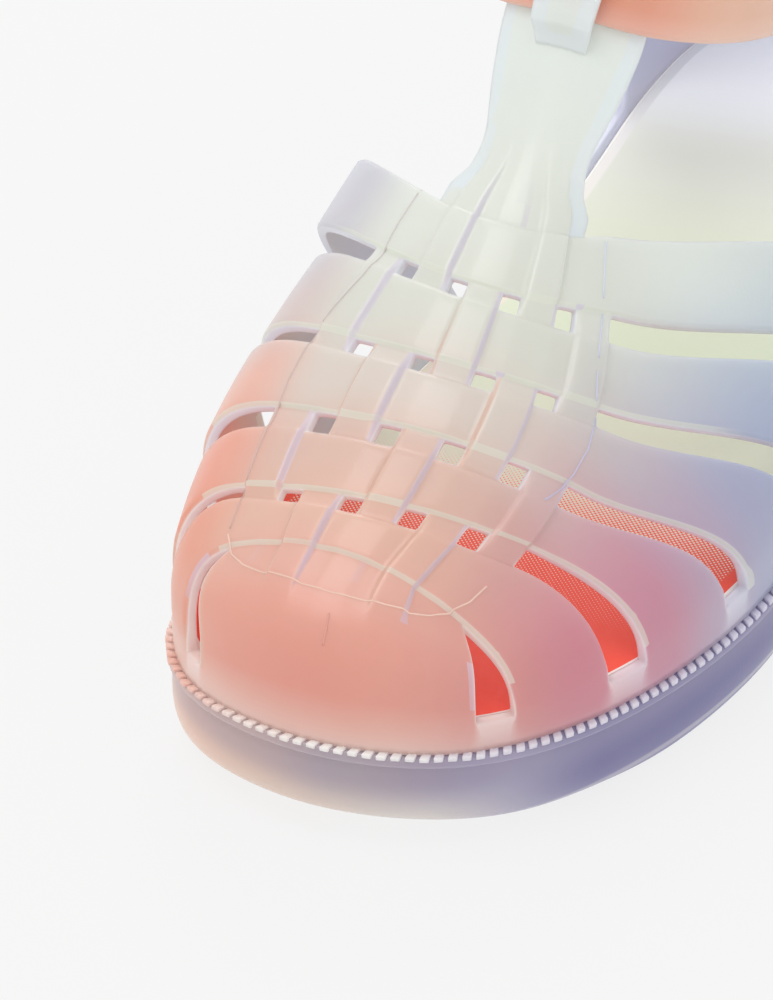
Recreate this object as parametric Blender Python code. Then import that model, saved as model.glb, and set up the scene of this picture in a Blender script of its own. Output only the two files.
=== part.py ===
"""Jelly sandal for the left foot: a moulded woven upper on a knurled sole, with a buckled ankle strap.

The toe points along -Y, the outer side of the foot is +X, and the sole rests on z = 0.
All sizes are in metres. Tables hold shares of the named sizes.
"""

import math
from typing import Callable, NamedTuple

import bmesh
import bpy
from mathutils import Vector

# Sole
SOLE_LENGTH = 0.255
BALL_WIDTH = 0.0958
HEEL_WIDTH = 0.0640
HEEL_HEIGHT = 0.0260
TOE_SPRING = 0.0055
ARCH_RISE = 0.0025
LEDGE_DEPTH = 0.0012
LEDGE_THICKNESS = 0.0022
FOOT_ROUND = 0.0026
FOOT_ROUND_HEIGHT = 0.0010
WALL_SWELL = 0.0006
INSOLE_THICKNESS = 0.0052
INSOLE_BEVEL = 0.0006

# Upper
WALL = 0.0016
RAND_WALL = 0.0024
RAND_HEIGHT = 0.0060
INSTEP_DEPTH = 0.0628
COLLAR_DEPTH = 0.0562
COUNTER_BULGE = 0.0030
COUNTER_CURVE = 0.0060
CAP_RELIEF = 0.0003
ROW_RELIEF = 0.0008
OVER_RELIEF = 0.0014
GAP_RELIEF = 0.0002
STEP_WIDTH = 0.0007

# Ankle strap and tongue
ANKLE_DEPTH = 0.0937
STRAP_WIDTH = 0.0126
STRAP_WALL = 0.0018
SLOT_WIDTH = 0.0040
TONGUE_WIDTH = 0.0276
TONGUE_RISE = 0.0130
TAB_WIDTH = 0.0100
TAB_WALL = 0.0016
TAB_SHOULDER = 0.0012
TAB_FOOT = 0.0026
TAB_TOE = 0.0048
TAB_SUNK = 0.0008

# Buckle, keeper and rivet
BAR_RADIUS = 0.0010
SLEEVE_WALL = 0.0012
BUCKLE_SETBACK = 0.0340
BUCKLE_REACH = 0.0130
PRONG_RADIUS = 0.0006
KEEPER_LENGTH = 0.0050
KEEPER_WALL = 0.0014
KEEPER_SETBACK = 0.0180
EAR_LENGTH = 0.0160
RIVET_RADIUS = 0.0014
RIVET_HEAD_RADIUS = 0.0032
RIVET_HEAD = 0.0010
RIVET_SETBACK = 0.0090
STRAP_TAIL = 0.0080
STRAP_HEAD = 0.0065
STRAP_STEP = 0.0045
PRONG_HOLE_REACH = 0.0042
PRONG_REACHES = (0.0009, 0.0021, 0.0035)
PRONG_SHARES = (0.22, 0.57, 0.87)
BUCKLE_CORNER = 0.0025

# Clearance between pieces, and the distance under which points are one
GAP = 0.0003
WELD = 0.00002

# Mesh steps
RIM_STEPS = 36
SIDE_STEPS = 10
CAP_STEPS = 8
TONGUE_STEPS = 12
COUNTER_STEPS = 20
LINES_PER_BAND = 5
RAND_STEP = 0.0140

MEDIAL = -1
LATERAL = 1


class RimPoint(NamedTuple):
    """A point of the sole's outline: shares of the length from the heel, and of the local width."""

    along: float
    across: float


class Height(NamedTuple):
    """A height along the sole, as a share of a named height."""

    along: float
    share: float


class Section(NamedTuple):
    """The woven panel where it crosses the foot: its inner seam, its ridge and its outer seam."""

    medial_across: float
    medial_along: float
    medial_depth: float
    ridge_across: float
    ridge_along: float
    ridge_depth: float
    lateral_across: float
    lateral_along: float
    lateral_depth: float


class Band(NamedTuple):
    """A row of the weave: its rear and front edges along the two seams and the ridge."""

    medial_rear: float
    medial_front: float
    ridge_rear: float
    ridge_front: float
    lateral_rear: float
    lateral_front: float


class Landing(NamedTuple):
    """A side strap: where it meets the rand, in shares from toe to heel, and the shape of its curve.

    Reach and dip say how far it runs on level from the seam and how much it drops there.
    Rise and swell say how far it stands up and out from the rand. All are shares of its span.
    """

    front: float
    rear: float
    reach: float
    rise: float
    swell: float
    dip: float


class LoopPoint(NamedTuple):
    """A point of the ankle loop, and the tilt of the strap's width from upright."""

    across: float
    along: float
    depth: float
    tilt: float


class Width(NamedTuple):
    """A width of the tongue along its length, as a share of its full width."""

    at: float
    share: float


# The first row is the back of the heel, and the row marked by TOE_TIP the front of the toe.
OUTLINE = (
    RimPoint(0.000, -0.085),
    RimPoint(0.020, -0.385),
    RimPoint(0.082, -0.550),
    RimPoint(0.176, -0.590),
    RimPoint(0.306, -0.568),
    RimPoint(0.424, -0.506),
    RimPoint(0.561, -0.447),
    RimPoint(0.686, -0.460),
    RimPoint(0.784, -0.485),
    RimPoint(0.871, -0.480),
    RimPoint(0.939, -0.423),
    RimPoint(0.982, -0.298),
    RimPoint(1.000, -0.094),
    RimPoint(0.988, 0.089),
    RimPoint(0.959, 0.219),
    RimPoint(0.904, 0.339),
    RimPoint(0.831, 0.428),
    RimPoint(0.745, 0.491),
    RimPoint(0.651, 0.522),
    RimPoint(0.529, 0.545),
    RimPoint(0.400, 0.530),
    RimPoint(0.267, 0.472),
    RimPoint(0.165, 0.432),
    RimPoint(0.078, 0.376),
    RimPoint(0.020, 0.213),
)
TOE_TIP = 12
WIDTH_CHANGE = (0.30, 0.70)

SOLE_TOP = (
    Height(0.00, 1.000),
    Height(0.24, 0.943),
    Height(0.43, 0.808),
    Height(0.70, 0.677),
    Height(0.84, 0.684),
    Height(0.94, 0.750),
    Height(1.00, 0.819),
)
SPRING = (Height(0.00, 0.10), Height(0.04, 0.0), Height(0.80, 0.0), Height(0.90, 0.38), Height(1.00, 1.0))
ARCH = (Height(0.28, 0.0), Height(0.42, 1.0), Height(0.57, 0.0))

PANEL = (
    Section(-0.271, 0.651, 0.931, -0.047, 0.688, 1.000, 0.084, 0.635, 0.889),
    Section(-0.303, 0.729, 0.789, -0.031, 0.763, 0.838, 0.162, 0.702, 0.739),
    Section(-0.334, 0.796, 0.645, -0.029, 0.827, 0.689, 0.205, 0.769, 0.591),
    Section(-0.327, 0.867, 0.492, -0.037, 0.884, 0.564, 0.188, 0.841, 0.438),
    Section(-0.285, 0.929, 0.378, -0.057, 0.927, 0.459, 0.154, 0.925, 0.331),
)
ROWS = (
    Band(0.000, 0.172, 0.000, 0.183, 0.000, 0.183),
    Band(0.222, 0.410, 0.240, 0.409, 0.258, 0.402),
    Band(0.455, 0.620, 0.463, 0.614, 0.450, 0.585),
    Band(0.680, 0.832, 0.683, 0.827, 0.645, 0.752),
    Band(0.868, 1.000, 0.885, 1.000, 0.818, 1.000),
)
STRIP_SHARE = 0.128
STRIPS = 5

LATERAL_STRAPS = (
    Landing(0.540, 0.618, 0.34, 0.27, 0.10, 0.06),
    Landing(0.432, 0.508, 0.32, 0.28, 0.06, 0.03),
    Landing(0.330, 0.400, 0.34, 0.32, 0.03, 0.08),
    Landing(0.234, 0.304, 0.38, 0.38, 0.02, 0.04),
    Landing(0.138, 0.201, 0.38, 0.44, 0.02, 0.00),
)
MEDIAL_STRAPS = (
    Landing(0.430, 0.500, 0.70, 0.46, 0.31, 0.00),
    Landing(0.315, 0.385, 0.58, 0.46, 0.17, 0.00),
    Landing(0.225, 0.292, 0.60, 0.46, 0.16, 0.00),
    Landing(0.155, 0.205, 0.54, 0.46, 0.10, 0.00),
    Landing(0.088, 0.140, 0.48, 0.46, 0.05, 0.00),
)
CAP_LATERAL = 0.112
CAP_MEDIAL = 0.070
CAP_REACH = 0.50
CAP_RISE = 0.55

COUNTER_FOOT = 0.745
COUNTER_BACK = 0.032

ANKLE_LOOP = (
    LoopPoint(-0.515, 0.180, 0.511, 4.0),
    LoopPoint(-0.552, 0.255, 0.606, 9.0),
    LoopPoint(-0.566, 0.345, 0.749, 16.0),
    LoopPoint(-0.532, 0.439, 0.877, 25.0),
    LoopPoint(-0.441, 0.514, 0.938, 33.0),
    LoopPoint(-0.284, 0.551, 0.976, 38.0),
    LoopPoint(-0.092, 0.561, 1.000, 40.0),
    LoopPoint(0.098, 0.551, 0.976, 38.0),
    LoopPoint(0.248, 0.514, 0.938, 33.0),
    LoopPoint(0.350, 0.439, 0.877, 25.0),
    LoopPoint(0.396, 0.345, 0.749, 16.0),
    LoopPoint(0.384, 0.255, 0.606, 9.0),
    LoopPoint(0.345, 0.180, 0.511, 4.0),
)
LOOP_FRONT = 6

TONGUE = (
    Width(0.00, 0.92),
    Width(0.16, 0.67),
    Width(0.32, 0.69),
    Width(0.50, 0.80),
    Width(0.72, 0.93),
    Width(0.86, 1.00),
    Width(0.95, 0.93),
    Width(1.00, 0.62),
)


def ease(share: float) -> float:
    """Return a soft step from 0 to 1."""
    share = min(max(share, 0.0), 1.0)
    return share * share * (3.0 - 2.0 * share)


def mix(first, second, share: float):
    """Return the value that lies at a share of the way from one value to another."""
    return first + (second - first) * share


def place(across: float, along: float, height: float) -> Vector:
    """Return the point at a distance across, along from the heel, and above the floor."""
    return Vector((across, SOLE_LENGTH / 2.0 - along, height))


def place_above(across: float, along: float, depth: float) -> Vector:
    """Return the point at a distance across, along from the heel, and above the sole's upper face."""
    return place(across, along, sole_top(along) + depth)


def spline(points: list[Vector], steps: int, closed: bool = False) -> list[Vector]:
    """Return a smooth curve through the points, each span in so many steps."""
    if closed:
        points = [points[-1], *points, points[0], points[1]]
    else:
        points = [points[0] * 2.0 - points[1], *points, points[-1] * 2.0 - points[-2]]
    curve = []
    for before, start, end, after in zip(points, points[1:], points[2:], points[3:]):
        lead = math.sqrt((start - before).length)
        span = math.sqrt((end - start).length)
        trail = math.sqrt((after - end).length)
        chord = end - start
        leave = chord + span * ((start - before) / lead - (end - before) / (lead + span))
        arrive = chord + span * ((after - end) / trail - (after - start) / (span + trail))
        for step in range(steps):
            at = step / steps
            cubic = (leave + arrive - 2.0 * chord) * at**3
            square = (3.0 * chord - 2.0 * leave - arrive) * at**2
            curve.append(start + leave * at + square + cubic)
    curve.append(points[-2].copy())
    return curve


class Route:
    """A curve that is read by the distance along it."""

    def __init__(self, points: list[Vector]):
        self.points = points
        self.marks = [0.0]
        for first, second in zip(points, points[1:]):
            self.marks.append(self.marks[-1] + (second - first).length)
        self.length = self.marks[-1]

    def at(self, distance: float) -> Vector:
        """Return the point at a distance from the start."""
        distance = min(max(distance, 0.0), self.length)
        low, high = 0, len(self.marks) - 1
        while high - low > 1:
            middle = (low + high) // 2
            if self.marks[middle] <= distance:
                low = middle
            else:
                high = middle
        span = self.marks[high] - self.marks[low]
        return mix(self.points[low], self.points[high], (distance - self.marks[low]) / span)

    def share(self, share: float) -> Vector:
        """Return the point at a share of the length."""
        return self.at(share * self.length)


def bezier(start: Vector, leave: Vector, arrive: Vector, end: Vector, at: float) -> Vector:
    """Return a point of the cubic curve with these four corners."""
    rest = 1.0 - at
    return start * rest**3 + leave * (3 * at * rest**2) + arrive * (3 * at**2 * rest) + end * at**3


def height_at(table: tuple[Height, ...], along: float) -> float:
    """Return the share that a table of heights gives at a distance from the heel, eased between rows."""
    share = along / SOLE_LENGTH
    for low, high in zip(table, table[1:]):
        if share <= high.along:
            return mix(low.share, high.share, ease((share - low.along) / (high.along - low.along)))
    return table[-1].share


def ground(along: float) -> float:
    """Return the height of the sole's underside."""
    lift = TOE_SPRING * height_at(SPRING, along)
    if ARCH[0].along < along / SOLE_LENGTH < ARCH[-1].along:
        lift += ARCH_RISE * height_at(ARCH, along)
    return lift


def top_line() -> Route:
    """Return the line of the sole's upper edge, seen from the side."""
    points = [Vector((row.along * SOLE_LENGTH, 0.0, row.share * HEEL_HEIGHT)) for row in SOLE_TOP]
    return Route(spline(points, 12))


TOP_LINE = top_line()


def sole_top(along: float) -> float:
    """Return the height of the sole's upper face."""
    along = min(max(along, 0.0), SOLE_LENGTH)
    points = TOP_LINE.points
    for low, high in zip(points, points[1:]):
        if along <= high.x:
            return mix(low.z, high.z, (along - low.x) / (high.x - low.x))
    return points[-1].z


def rim_sides() -> dict[int, Route]:
    """Return the two sides of the sole's outline, each from the tip of the toe to the back of the heel."""
    points = []
    for row in OUTLINE:
        change = (row.along - WIDTH_CHANGE[0]) / (WIDTH_CHANGE[1] - WIDTH_CHANGE[0])
        width = mix(HEEL_WIDTH, BALL_WIDTH, ease(change))
        points.append(Vector((row.across * width, row.along * SOLE_LENGTH, 0.0)))
    steps = 16
    curve = spline(points, steps, closed=True)
    tip = TOE_TIP * steps
    return {MEDIAL: Route(curve[tip::-1]), LATERAL: Route(curve[tip:])}


RIM = rim_sides()


def rim_frame(side: int, share: float) -> tuple[Vector, Vector]:
    """Return the outline's point and its outward direction at a share of one side, in plan."""
    route = RIM[side]
    reach = 0.004
    distance = share * route.length

    def reading(at: float) -> Vector:
        if at < 0.0:
            return RIM[-side].at(-at)
        if at > route.length:
            return RIM[-side].at(RIM[-side].length - (at - route.length))
        return route.at(at)

    run = reading(distance + reach) - reading(distance - reach)
    outward = Vector((-run.y, run.x, 0.0)).normalized() * side
    return route.at(distance), outward


def rim(side: int, share: float, inset: float, height: Callable[[float], float]) -> Vector:
    """Return a point set in from the outline, at a height that depends on how far along it lies."""
    point, outward = rim_frame(side, share)
    point = point - outward * inset
    return place(point.x, point.y, height(point.y))


def rand_top(along: float) -> float:
    """Return the height of the rand's upper edge."""
    return sole_top(along) + GAP + RAND_HEIGHT


def rand_foot(along: float) -> float:
    """Return the height of the rand's lower edge."""
    return sole_top(along) + GAP


RAND_INSET = LEDGE_DEPTH + RAND_WALL


Colour = tuple[float, float, float]


class Solid:
    """A closed piece under construction, made of grids that meet at their edges."""

    def __init__(self, name: str):
        self.name = name
        self.mesh = bmesh.new()
        self.wall = self.mesh.verts.layers.float.new("wall")
        self.push = self.mesh.verts.layers.float_vector.new("push")

    def patch(self, columns: int, rows: int, point, wall=None, opening=None) -> None:
        """Add a grid whose corners lie at point(column, row), without the cells that are openings."""
        grid = bmesh.new()
        layer = grid.verts.layers.float.new("wall")
        grid.verts.layers.float_vector.new("push")
        bmesh.ops.create_grid(grid, x_segments=columns, y_segments=rows, size=0.5)
        if opening:
            cells = {}
            for face in grid.faces:
                centre = face.calc_center_median()
                cells[face] = (int((centre.x + 0.5) * columns), int((centre.y + 0.5) * rows))
            open_faces = [face for face, cell in cells.items() if opening(*cell)]
            bmesh.ops.delete(grid, geom=open_faces, context="FACES")
        for vert in grid.verts:
            column = round((vert.co.x + 0.5) * columns)
            row = round((vert.co.y + 0.5) * rows)
            vert.co = point(column, row)
            vert[layer] = wall(column, row) if wall else 0.0
        held = bpy.data.meshes.new("patch")
        grid.to_mesh(held)
        grid.free()
        self.mesh.from_mesh(held)
        bpy.data.meshes.remove(held)

    def thicken(self, outward: Vector) -> None:
        """Give the joined grids their walls, on the side that a direction points to at the highest face."""
        mesh = self.mesh
        bmesh.ops.remove_doubles(mesh, verts=mesh.verts, dist=WELD)
        bmesh.ops.recalc_face_normals(mesh, faces=mesh.faces)
        highest = max(mesh.faces, key=lambda face: face.calc_center_median().z)
        if highest.normal.dot(outward) < 0.0:
            bmesh.ops.reverse_faces(mesh, faces=mesh.faces)
        mesh.normal_update()
        for vert in mesh.verts:
            vert[self.push] = vert.normal * vert[self.wall]
        grown = bmesh.ops.extrude_face_region(mesh, geom=mesh.faces[:], use_keep_orig=True)
        for item in grown["geom"]:
            if isinstance(item, bmesh.types.BMVert):
                item.co += item[self.push]

    def finish(self, colour: Colour, roughness: float, metallic: float = 0.0) -> bpy.types.Object:
        """Turn the grids into an object of the scene with its own material."""
        bmesh.ops.remove_doubles(self.mesh, verts=self.mesh.verts, dist=WELD)
        bmesh.ops.dissolve_degenerate(self.mesh, dist=WELD, edges=self.mesh.edges)
        bmesh.ops.recalc_face_normals(self.mesh, faces=self.mesh.faces)
        held = bpy.data.meshes.new(self.name)
        self.mesh.to_mesh(held)
        self.mesh.free()
        piece = bpy.data.objects.new(self.name, held)
        bpy.context.scene.collection.objects.link(piece)
        held.shade_smooth()
        held.set_sharp_from_angle(angle=math.radians(40.0))
        dress(piece, colour, roughness, metallic)
        return piece


def dress(piece: bpy.types.Object, colour: Colour, roughness: float, metallic: float) -> None:
    """Give a piece a plain material of its own."""
    material = bpy.data.materials.new(piece.name)
    material.use_nodes = True
    shader = material.node_tree.nodes["Principled BSDF"]
    shader.inputs["Base Color"].default_value = (*colour, 1.0)
    shader.inputs["Roughness"].default_value = roughness
    shader.inputs["Metallic"].default_value = metallic
    piece.data.materials.append(material)


class Level(NamedTuple):
    """A ring of a slab: how far it is set in from the outline, and its height along the sole."""

    inset: float
    height: Callable[[float], float]


def slab(name: str, levels: tuple[Level, ...]) -> Solid:
    """Return a solid with the sole's outline, closed below its first level and above its last."""
    solid = Solid(name)

    def around(column: int) -> tuple[int, float]:
        if column <= RIM_STEPS:
            return LATERAL, column / RIM_STEPS
        return MEDIAL, (2 * RIM_STEPS - column) / RIM_STEPS

    def side_point(column: int, row: int) -> Vector:
        side, share = around(column)
        return rim(side, share, levels[row].inset, levels[row].height)

    solid.patch(2 * RIM_STEPS, len(levels) - 1, side_point)
    for level in (levels[0], levels[-1]):

        def face_point(column: int, row: int, level: Level = level) -> Vector:
            ends = [rim(side, column / RIM_STEPS, level.inset, level.height) for side in (MEDIAL, LATERAL)]
            return mix(ends[0], ends[1], row / 2)

        solid.patch(RIM_STEPS, 2, face_point)
    return solid


def wall_height(share: float) -> Callable[[float], float]:
    """Return the height at a share of the sole's wall, from the ground to under the ledge."""
    return lambda along: mix(ground(along), sole_top(along) - LEDGE_THICKNESS, share)


def raised(base: Callable[[float], float], rise: float) -> Callable[[float], float]:
    """Return a height line lifted by a fixed amount."""
    return lambda along: base(along) + rise


def make_outsole() -> bpy.types.Object:
    """Make the sole: a swelling wall under a proud ledge that scene detail turns into a knurled welt."""
    tuck = LEDGE_DEPTH + FOOT_ROUND * 0.3
    levels = (
        Level(tuck + FOOT_ROUND, ground),
        Level(tuck, raised(ground, FOOT_ROUND_HEIGHT)),
        Level(LEDGE_DEPTH - WALL_SWELL * 0.5, wall_height(0.25)),
        Level(LEDGE_DEPTH - WALL_SWELL, wall_height(0.55)),
        Level(LEDGE_DEPTH - WALL_SWELL * 0.4, wall_height(0.85)),
        Level(LEDGE_DEPTH, raised(sole_top, -LEDGE_THICKNESS)),
        Level(0.0, raised(sole_top, -LEDGE_THICKNESS)),
        Level(0.0, sole_top),
    )
    return slab("outsole", levels).finish((0.72, 0.58, 0.56), 0.35)


def make_insole() -> bpy.types.Object:
    """Make the insole, which lies on the sole inside the rand."""
    inset = RAND_INSET + GAP
    levels = (
        Level(inset, rand_foot),
        Level(inset, raised(rand_foot, INSOLE_THICKNESS - INSOLE_BEVEL)),
        Level(inset + INSOLE_BEVEL, raised(rand_foot, INSOLE_THICKNESS)),
    )
    return slab("insole", levels).finish((0.80, 0.45, 0.38), 0.5)


PANEL_LINES = STRIPS * LINES_PER_BAND


def guide_routes() -> dict[str, Route]:
    """Return the panel's two seams and its ridge, from the instep to the toe cap."""
    routes = {}
    for name in ("medial", "ridge", "lateral"):
        points = []
        for row in PANEL:
            across = getattr(row, f"{name}_across") * BALL_WIDTH
            along = getattr(row, f"{name}_along") * SOLE_LENGTH
            points.append(place_above(across, along, getattr(row, f"{name}_depth") * INSTEP_DEPTH))
        routes[name] = Route(spline(points, 10))
    return routes


GUIDES = guide_routes()


def line_distance(start: float, end: float, kind: int, at_start: bool, at_end: bool) -> float:
    """Return where one of a band's lines lies: beside its first edge, at its middle, or beside its last."""
    half = STEP_WIDTH / 2.0
    first = start if at_start else start - half
    last = end if at_end else end + half
    return (first, first + STEP_WIDTH, (start + end) / 2.0, last - STEP_WIDTH, last)[kind]


def row_point(guide: str, line: int) -> Vector:
    """Return where a line across the panel meets one of its guides."""
    row, kind = divmod(line, LINES_PER_BAND)
    band = ROWS[row]
    length = GUIDES[guide].length
    start = getattr(band, f"{guide}_rear") * length
    end = getattr(band, f"{guide}_front") * length
    return GUIDES[guide].at(line_distance(start, end, kind, row == 0, row == len(ROWS) - 1))


def strip_share(line: int) -> float:
    """Return where a lengthwise line lies between the inner seam and the outer one."""
    strip, kind = divmod(line, LINES_PER_BAND)
    width = HALF_GIRTH * 2.0
    start = strip * (1.0 - STRIP_SHARE) / (STRIPS - 1) * width
    end = start + STRIP_SHARE * width
    return line_distance(start, end, kind, strip == 0, strip == STRIPS - 1) / width


HALF_GIRTH = (GUIDES["lateral"].share(0.5) - GUIDES["medial"].share(0.5)).length / 2.0


def across_panel(line: int, share: float) -> Vector:
    """Return a point of a line across the panel, on the arch through its two seams and its ridge."""
    medial, ridge, lateral = (row_point(guide, line) for guide in ("medial", "ridge", "lateral"))
    inner = medial * (2 * share - 1) * (share - 1)
    outer = lateral * share * (2 * share - 1)
    return inner + ridge * 4 * share * (1 - share) + outer


def seam_run(line: int, side: int) -> Vector:
    """Return the direction in which a row leaves the panel at a seam."""
    if side == MEDIAL:
        return (across_panel(line, 0.0) - across_panel(line, 0.04)).normalized()
    return (across_panel(line, 1.0) - across_panel(line, 0.96)).normalized()


def panel_point(column: int, row: int) -> Vector:
    """Return a corner of the panel's grid."""
    return across_panel(row, strip_share(column))


OVER_CROWN = (0.60, 0.88, 1.00, 0.88, 0.60)
ROW_CROWN = (0.00, 0.85, 1.00, 0.85, 0.00)


def weave_relief(column: int, row: int) -> float:
    """Return how far the weave stands above the panel's wall at a corner of its grid."""
    strip, strip_kind = divmod(column, LINES_PER_BAND)
    band, band_kind = divmod(row, LINES_PER_BAND)
    strip_is_over = strip % 2 != band % 2
    inside_strip = 0 < strip_kind < LINES_PER_BAND - 1
    inside_band = 0 < band_kind < LINES_PER_BAND - 1
    if inside_strip and strip_is_over:
        return OVER_RELIEF * OVER_CROWN[band_kind]
    if inside_band:
        dip = 0.5 if strip_is_over else 1.0
        return ROW_RELIEF * ROW_CROWN[band_kind] * dip
    return GAP_RELIEF if inside_strip else 0.0


def is_hole(column: int, row: int) -> bool:
    """Tell whether a cell of the panel lies between two strips and two rows."""
    between_strips = column % LINES_PER_BAND == LINES_PER_BAND - 1
    between_rows = row % LINES_PER_BAND == LINES_PER_BAND - 1
    return between_strips and between_rows


def strap_line(side: int, row: int, kind: int) -> tuple[Vector, Vector, Vector, Vector]:
    """Return the four corners of the curve that a side strap's line follows down to the rand."""
    landing = (MEDIAL_STRAPS if side == MEDIAL else LATERAL_STRAPS)[row]
    line = row * LINES_PER_BAND + kind
    route = RIM[side]
    front = landing.front * route.length
    rear = landing.rear * route.length
    distance = line_distance(-rear, -front, kind, False, False)
    end = rim(side, -distance / route.length, RAND_INSET, rand_top)
    outward = rim_frame(side, -distance / route.length)[1]
    outward = Vector((outward.x, -outward.y, 0.0))
    start = across_panel(line, 0.0 if side == MEDIAL else 1.0)
    span = (end - start).length
    leave = start + seam_run(line, side) * span * landing.reach - Vector((0.0, 0.0, landing.dip * span))
    arrive = end + Vector((0.0, 0.0, landing.rise * span)) + outward * landing.swell * span
    return start, leave, arrive, end


def cap_line(column: int) -> tuple[Vector, Vector, Vector, Vector]:
    """Return the four corners of the curve that a line of the toe cap follows down to the rand."""
    last = PANEL_LINES - 1
    share = strip_share(column)
    start = across_panel(last, share)
    run = (start - across_panel(last - LINES_PER_BAND, share)).normalized()
    turn = (2.0 * share - 1.0) ** 2 * 0.6
    sideways = seam_run(last, LATERAL if share > 0.5 else MEDIAL)
    run = mix(run, sideways, turn).normalized()
    end = rim(*rim_at(cap_distance(column)), RAND_INSET, rand_top)
    span = (end - start).length
    leave = start + run * span * CAP_REACH
    arrive = end + Vector((0.0, 0.0, CAP_RISE * span))
    return start, leave, arrive, end


def add_panel(upper: Solid) -> None:
    """Add the woven panel over the instep."""
    cells = PANEL_LINES - 1
    upper.patch(cells, cells, panel_point, lambda i, j: WALL + weave_relief(i, j), is_hole)


def add_side_straps(upper: Solid) -> None:
    """Add the ends of the rows, from the panel's seams down to the rand."""
    for side in (MEDIAL, LATERAL):
        column = 0 if side == MEDIAL else PANEL_LINES - 1
        for row in range(len(ROWS)):
            lines = [strap_line(side, row, kind) for kind in range(LINES_PER_BAND)]
            first = row * LINES_PER_BAND

            def point(step: int, kind: int, lines=lines) -> Vector:
                return bezier(*lines[kind], step / SIDE_STEPS)

            def wall(step: int, kind: int, column=column, first=first) -> float:
                seam = weave_relief(column, first + kind)
                full = ROW_RELIEF * ROW_CROWN[kind]
                landed = ease((step / SIDE_STEPS - 0.8) / 0.2)
                relief = mix(seam, full, ease(step / 2))
                return mix(WALL + relief, RAND_WALL, landed)

            upper.patch(SIDE_STEPS, LINES_PER_BAND - 1, point, wall)


def add_toe_cap(upper: Solid) -> None:
    """Add the closed cap in front of the last row."""
    lines = [cap_line(column) for column in range(PANEL_LINES)]

    def wall(column: int, step: int) -> float:
        seam = weave_relief(column, PANEL_LINES - 1)
        fade = ease(step / (CAP_STEPS * 0.4))
        landed = ease((step / CAP_STEPS - 0.8) / 0.2)
        return mix(WALL + mix(seam, CAP_RELIEF, fade), RAND_WALL, landed)

    upper.patch(PANEL_LINES - 1, CAP_STEPS, lambda i, j: bezier(*lines[i], j / CAP_STEPS), wall)


def cap_distance(column: int) -> float:
    """Return how far from the toe's tip a line of the cap meets the rand, outer side positive."""
    reach = (-CAP_MEDIAL * RIM[MEDIAL].length, CAP_LATERAL * RIM[LATERAL].length)
    return mix(reach[0], reach[1], strip_share(column))


def rim_at(distance: float) -> tuple[int, float]:
    """Return the side and the share of it at a distance from the toe's tip, outer side positive."""
    side = LATERAL if distance >= 0.0 else MEDIAL
    return side, abs(distance) / RIM[side].length


def rand_marks() -> list[float]:
    """Return every distance from the toe's tip at which the rand has an upright line, inner side first."""
    marks = {cap_distance(column) for column in range(PANEL_LINES)}
    for side, landings in ((MEDIAL, MEDIAL_STRAPS), (LATERAL, LATERAL_STRAPS)):
        length = RIM[side].length
        for landing in landings:
            ends = (-landing.rear * length, -landing.front * length)
            for kind in range(LINES_PER_BAND):
                marks.add(-line_distance(*ends, kind, False, False) * side)
        for column in range(COUNTER_STEPS // 2 + 1):
            marks.add(side * length * mix(COUNTER_FOOT, 1.0, column / (COUNTER_STEPS / 2)))
    marks = sorted(marks)
    filled = [marks[0]]
    for low, high in zip(marks, marks[1:]):
        pieces = max(1, round((high - low) / RAND_STEP))
        filled += [mix(low, high, step / pieces) for step in range(1, pieces + 1)]
    return filled


def add_rand(upper: Solid) -> None:
    """Add the band that runs all round the foot of the upper."""
    marks = rand_marks()

    def point(column: int, row: int) -> Vector:
        return rim(*rim_at(marks[column]), RAND_INSET, rand_top if row else rand_foot)

    upper.patch(len(marks) - 1, 1, point, lambda column, row: RAND_WALL)


def loop_point(row: LoopPoint) -> Vector:
    """Return the place of a row of the ankle loop."""
    return place_above(row.across * HEEL_WIDTH, row.along * SOLE_LENGTH, row.depth * ANKLE_DEPTH)


LOOP_STEPS = 12
LOOP = Route(spline([loop_point(row) for row in ANKLE_LOOP], LOOP_STEPS))
LOOP_TILTS = [Vector((row.tilt, 0.0, 0.0)) for row in ANKLE_LOOP]
LOOP_CENTRE = LOOP.marks[LOOP_FRONT * LOOP_STEPS]


def band_frame(distance: float) -> tuple[Vector, Vector, Vector, Vector]:
    """Return the ankle loop's point, run, width direction and outward direction at a distance along it."""
    reach = 0.002
    run = (LOOP.at(distance + reach) - LOOP.at(distance - reach)).normalized()
    step = next(i for i, mark in enumerate(LOOP.marks) if mark >= min(distance, LOOP.length) - WELD)
    spot = step / LOOP_STEPS
    low = min(int(spot), len(ANKLE_LOOP) - 2)
    tilt = math.radians(mix(ANKLE_LOOP[low].tilt, ANKLE_LOOP[low + 1].tilt, spot - low))
    lean = Vector((0.0, math.sin(tilt), math.cos(tilt)))
    outward = run.cross(lean).normalized()
    return LOOP.at(distance), run, outward.cross(run).normalized(), outward


def band_point(distance: float, up: float, out: float) -> Vector:
    """Return a point of the ankle band: along the loop, up its width, and out from its inner face."""
    point, _, width, outward = band_frame(distance)
    return point + width * up + outward * out


BAND_LINES = (-STRAP_WIDTH / 2.0, -SLOT_WIDTH / 2.0, SLOT_WIDTH / 2.0, STRAP_WIDTH / 2.0)


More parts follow.
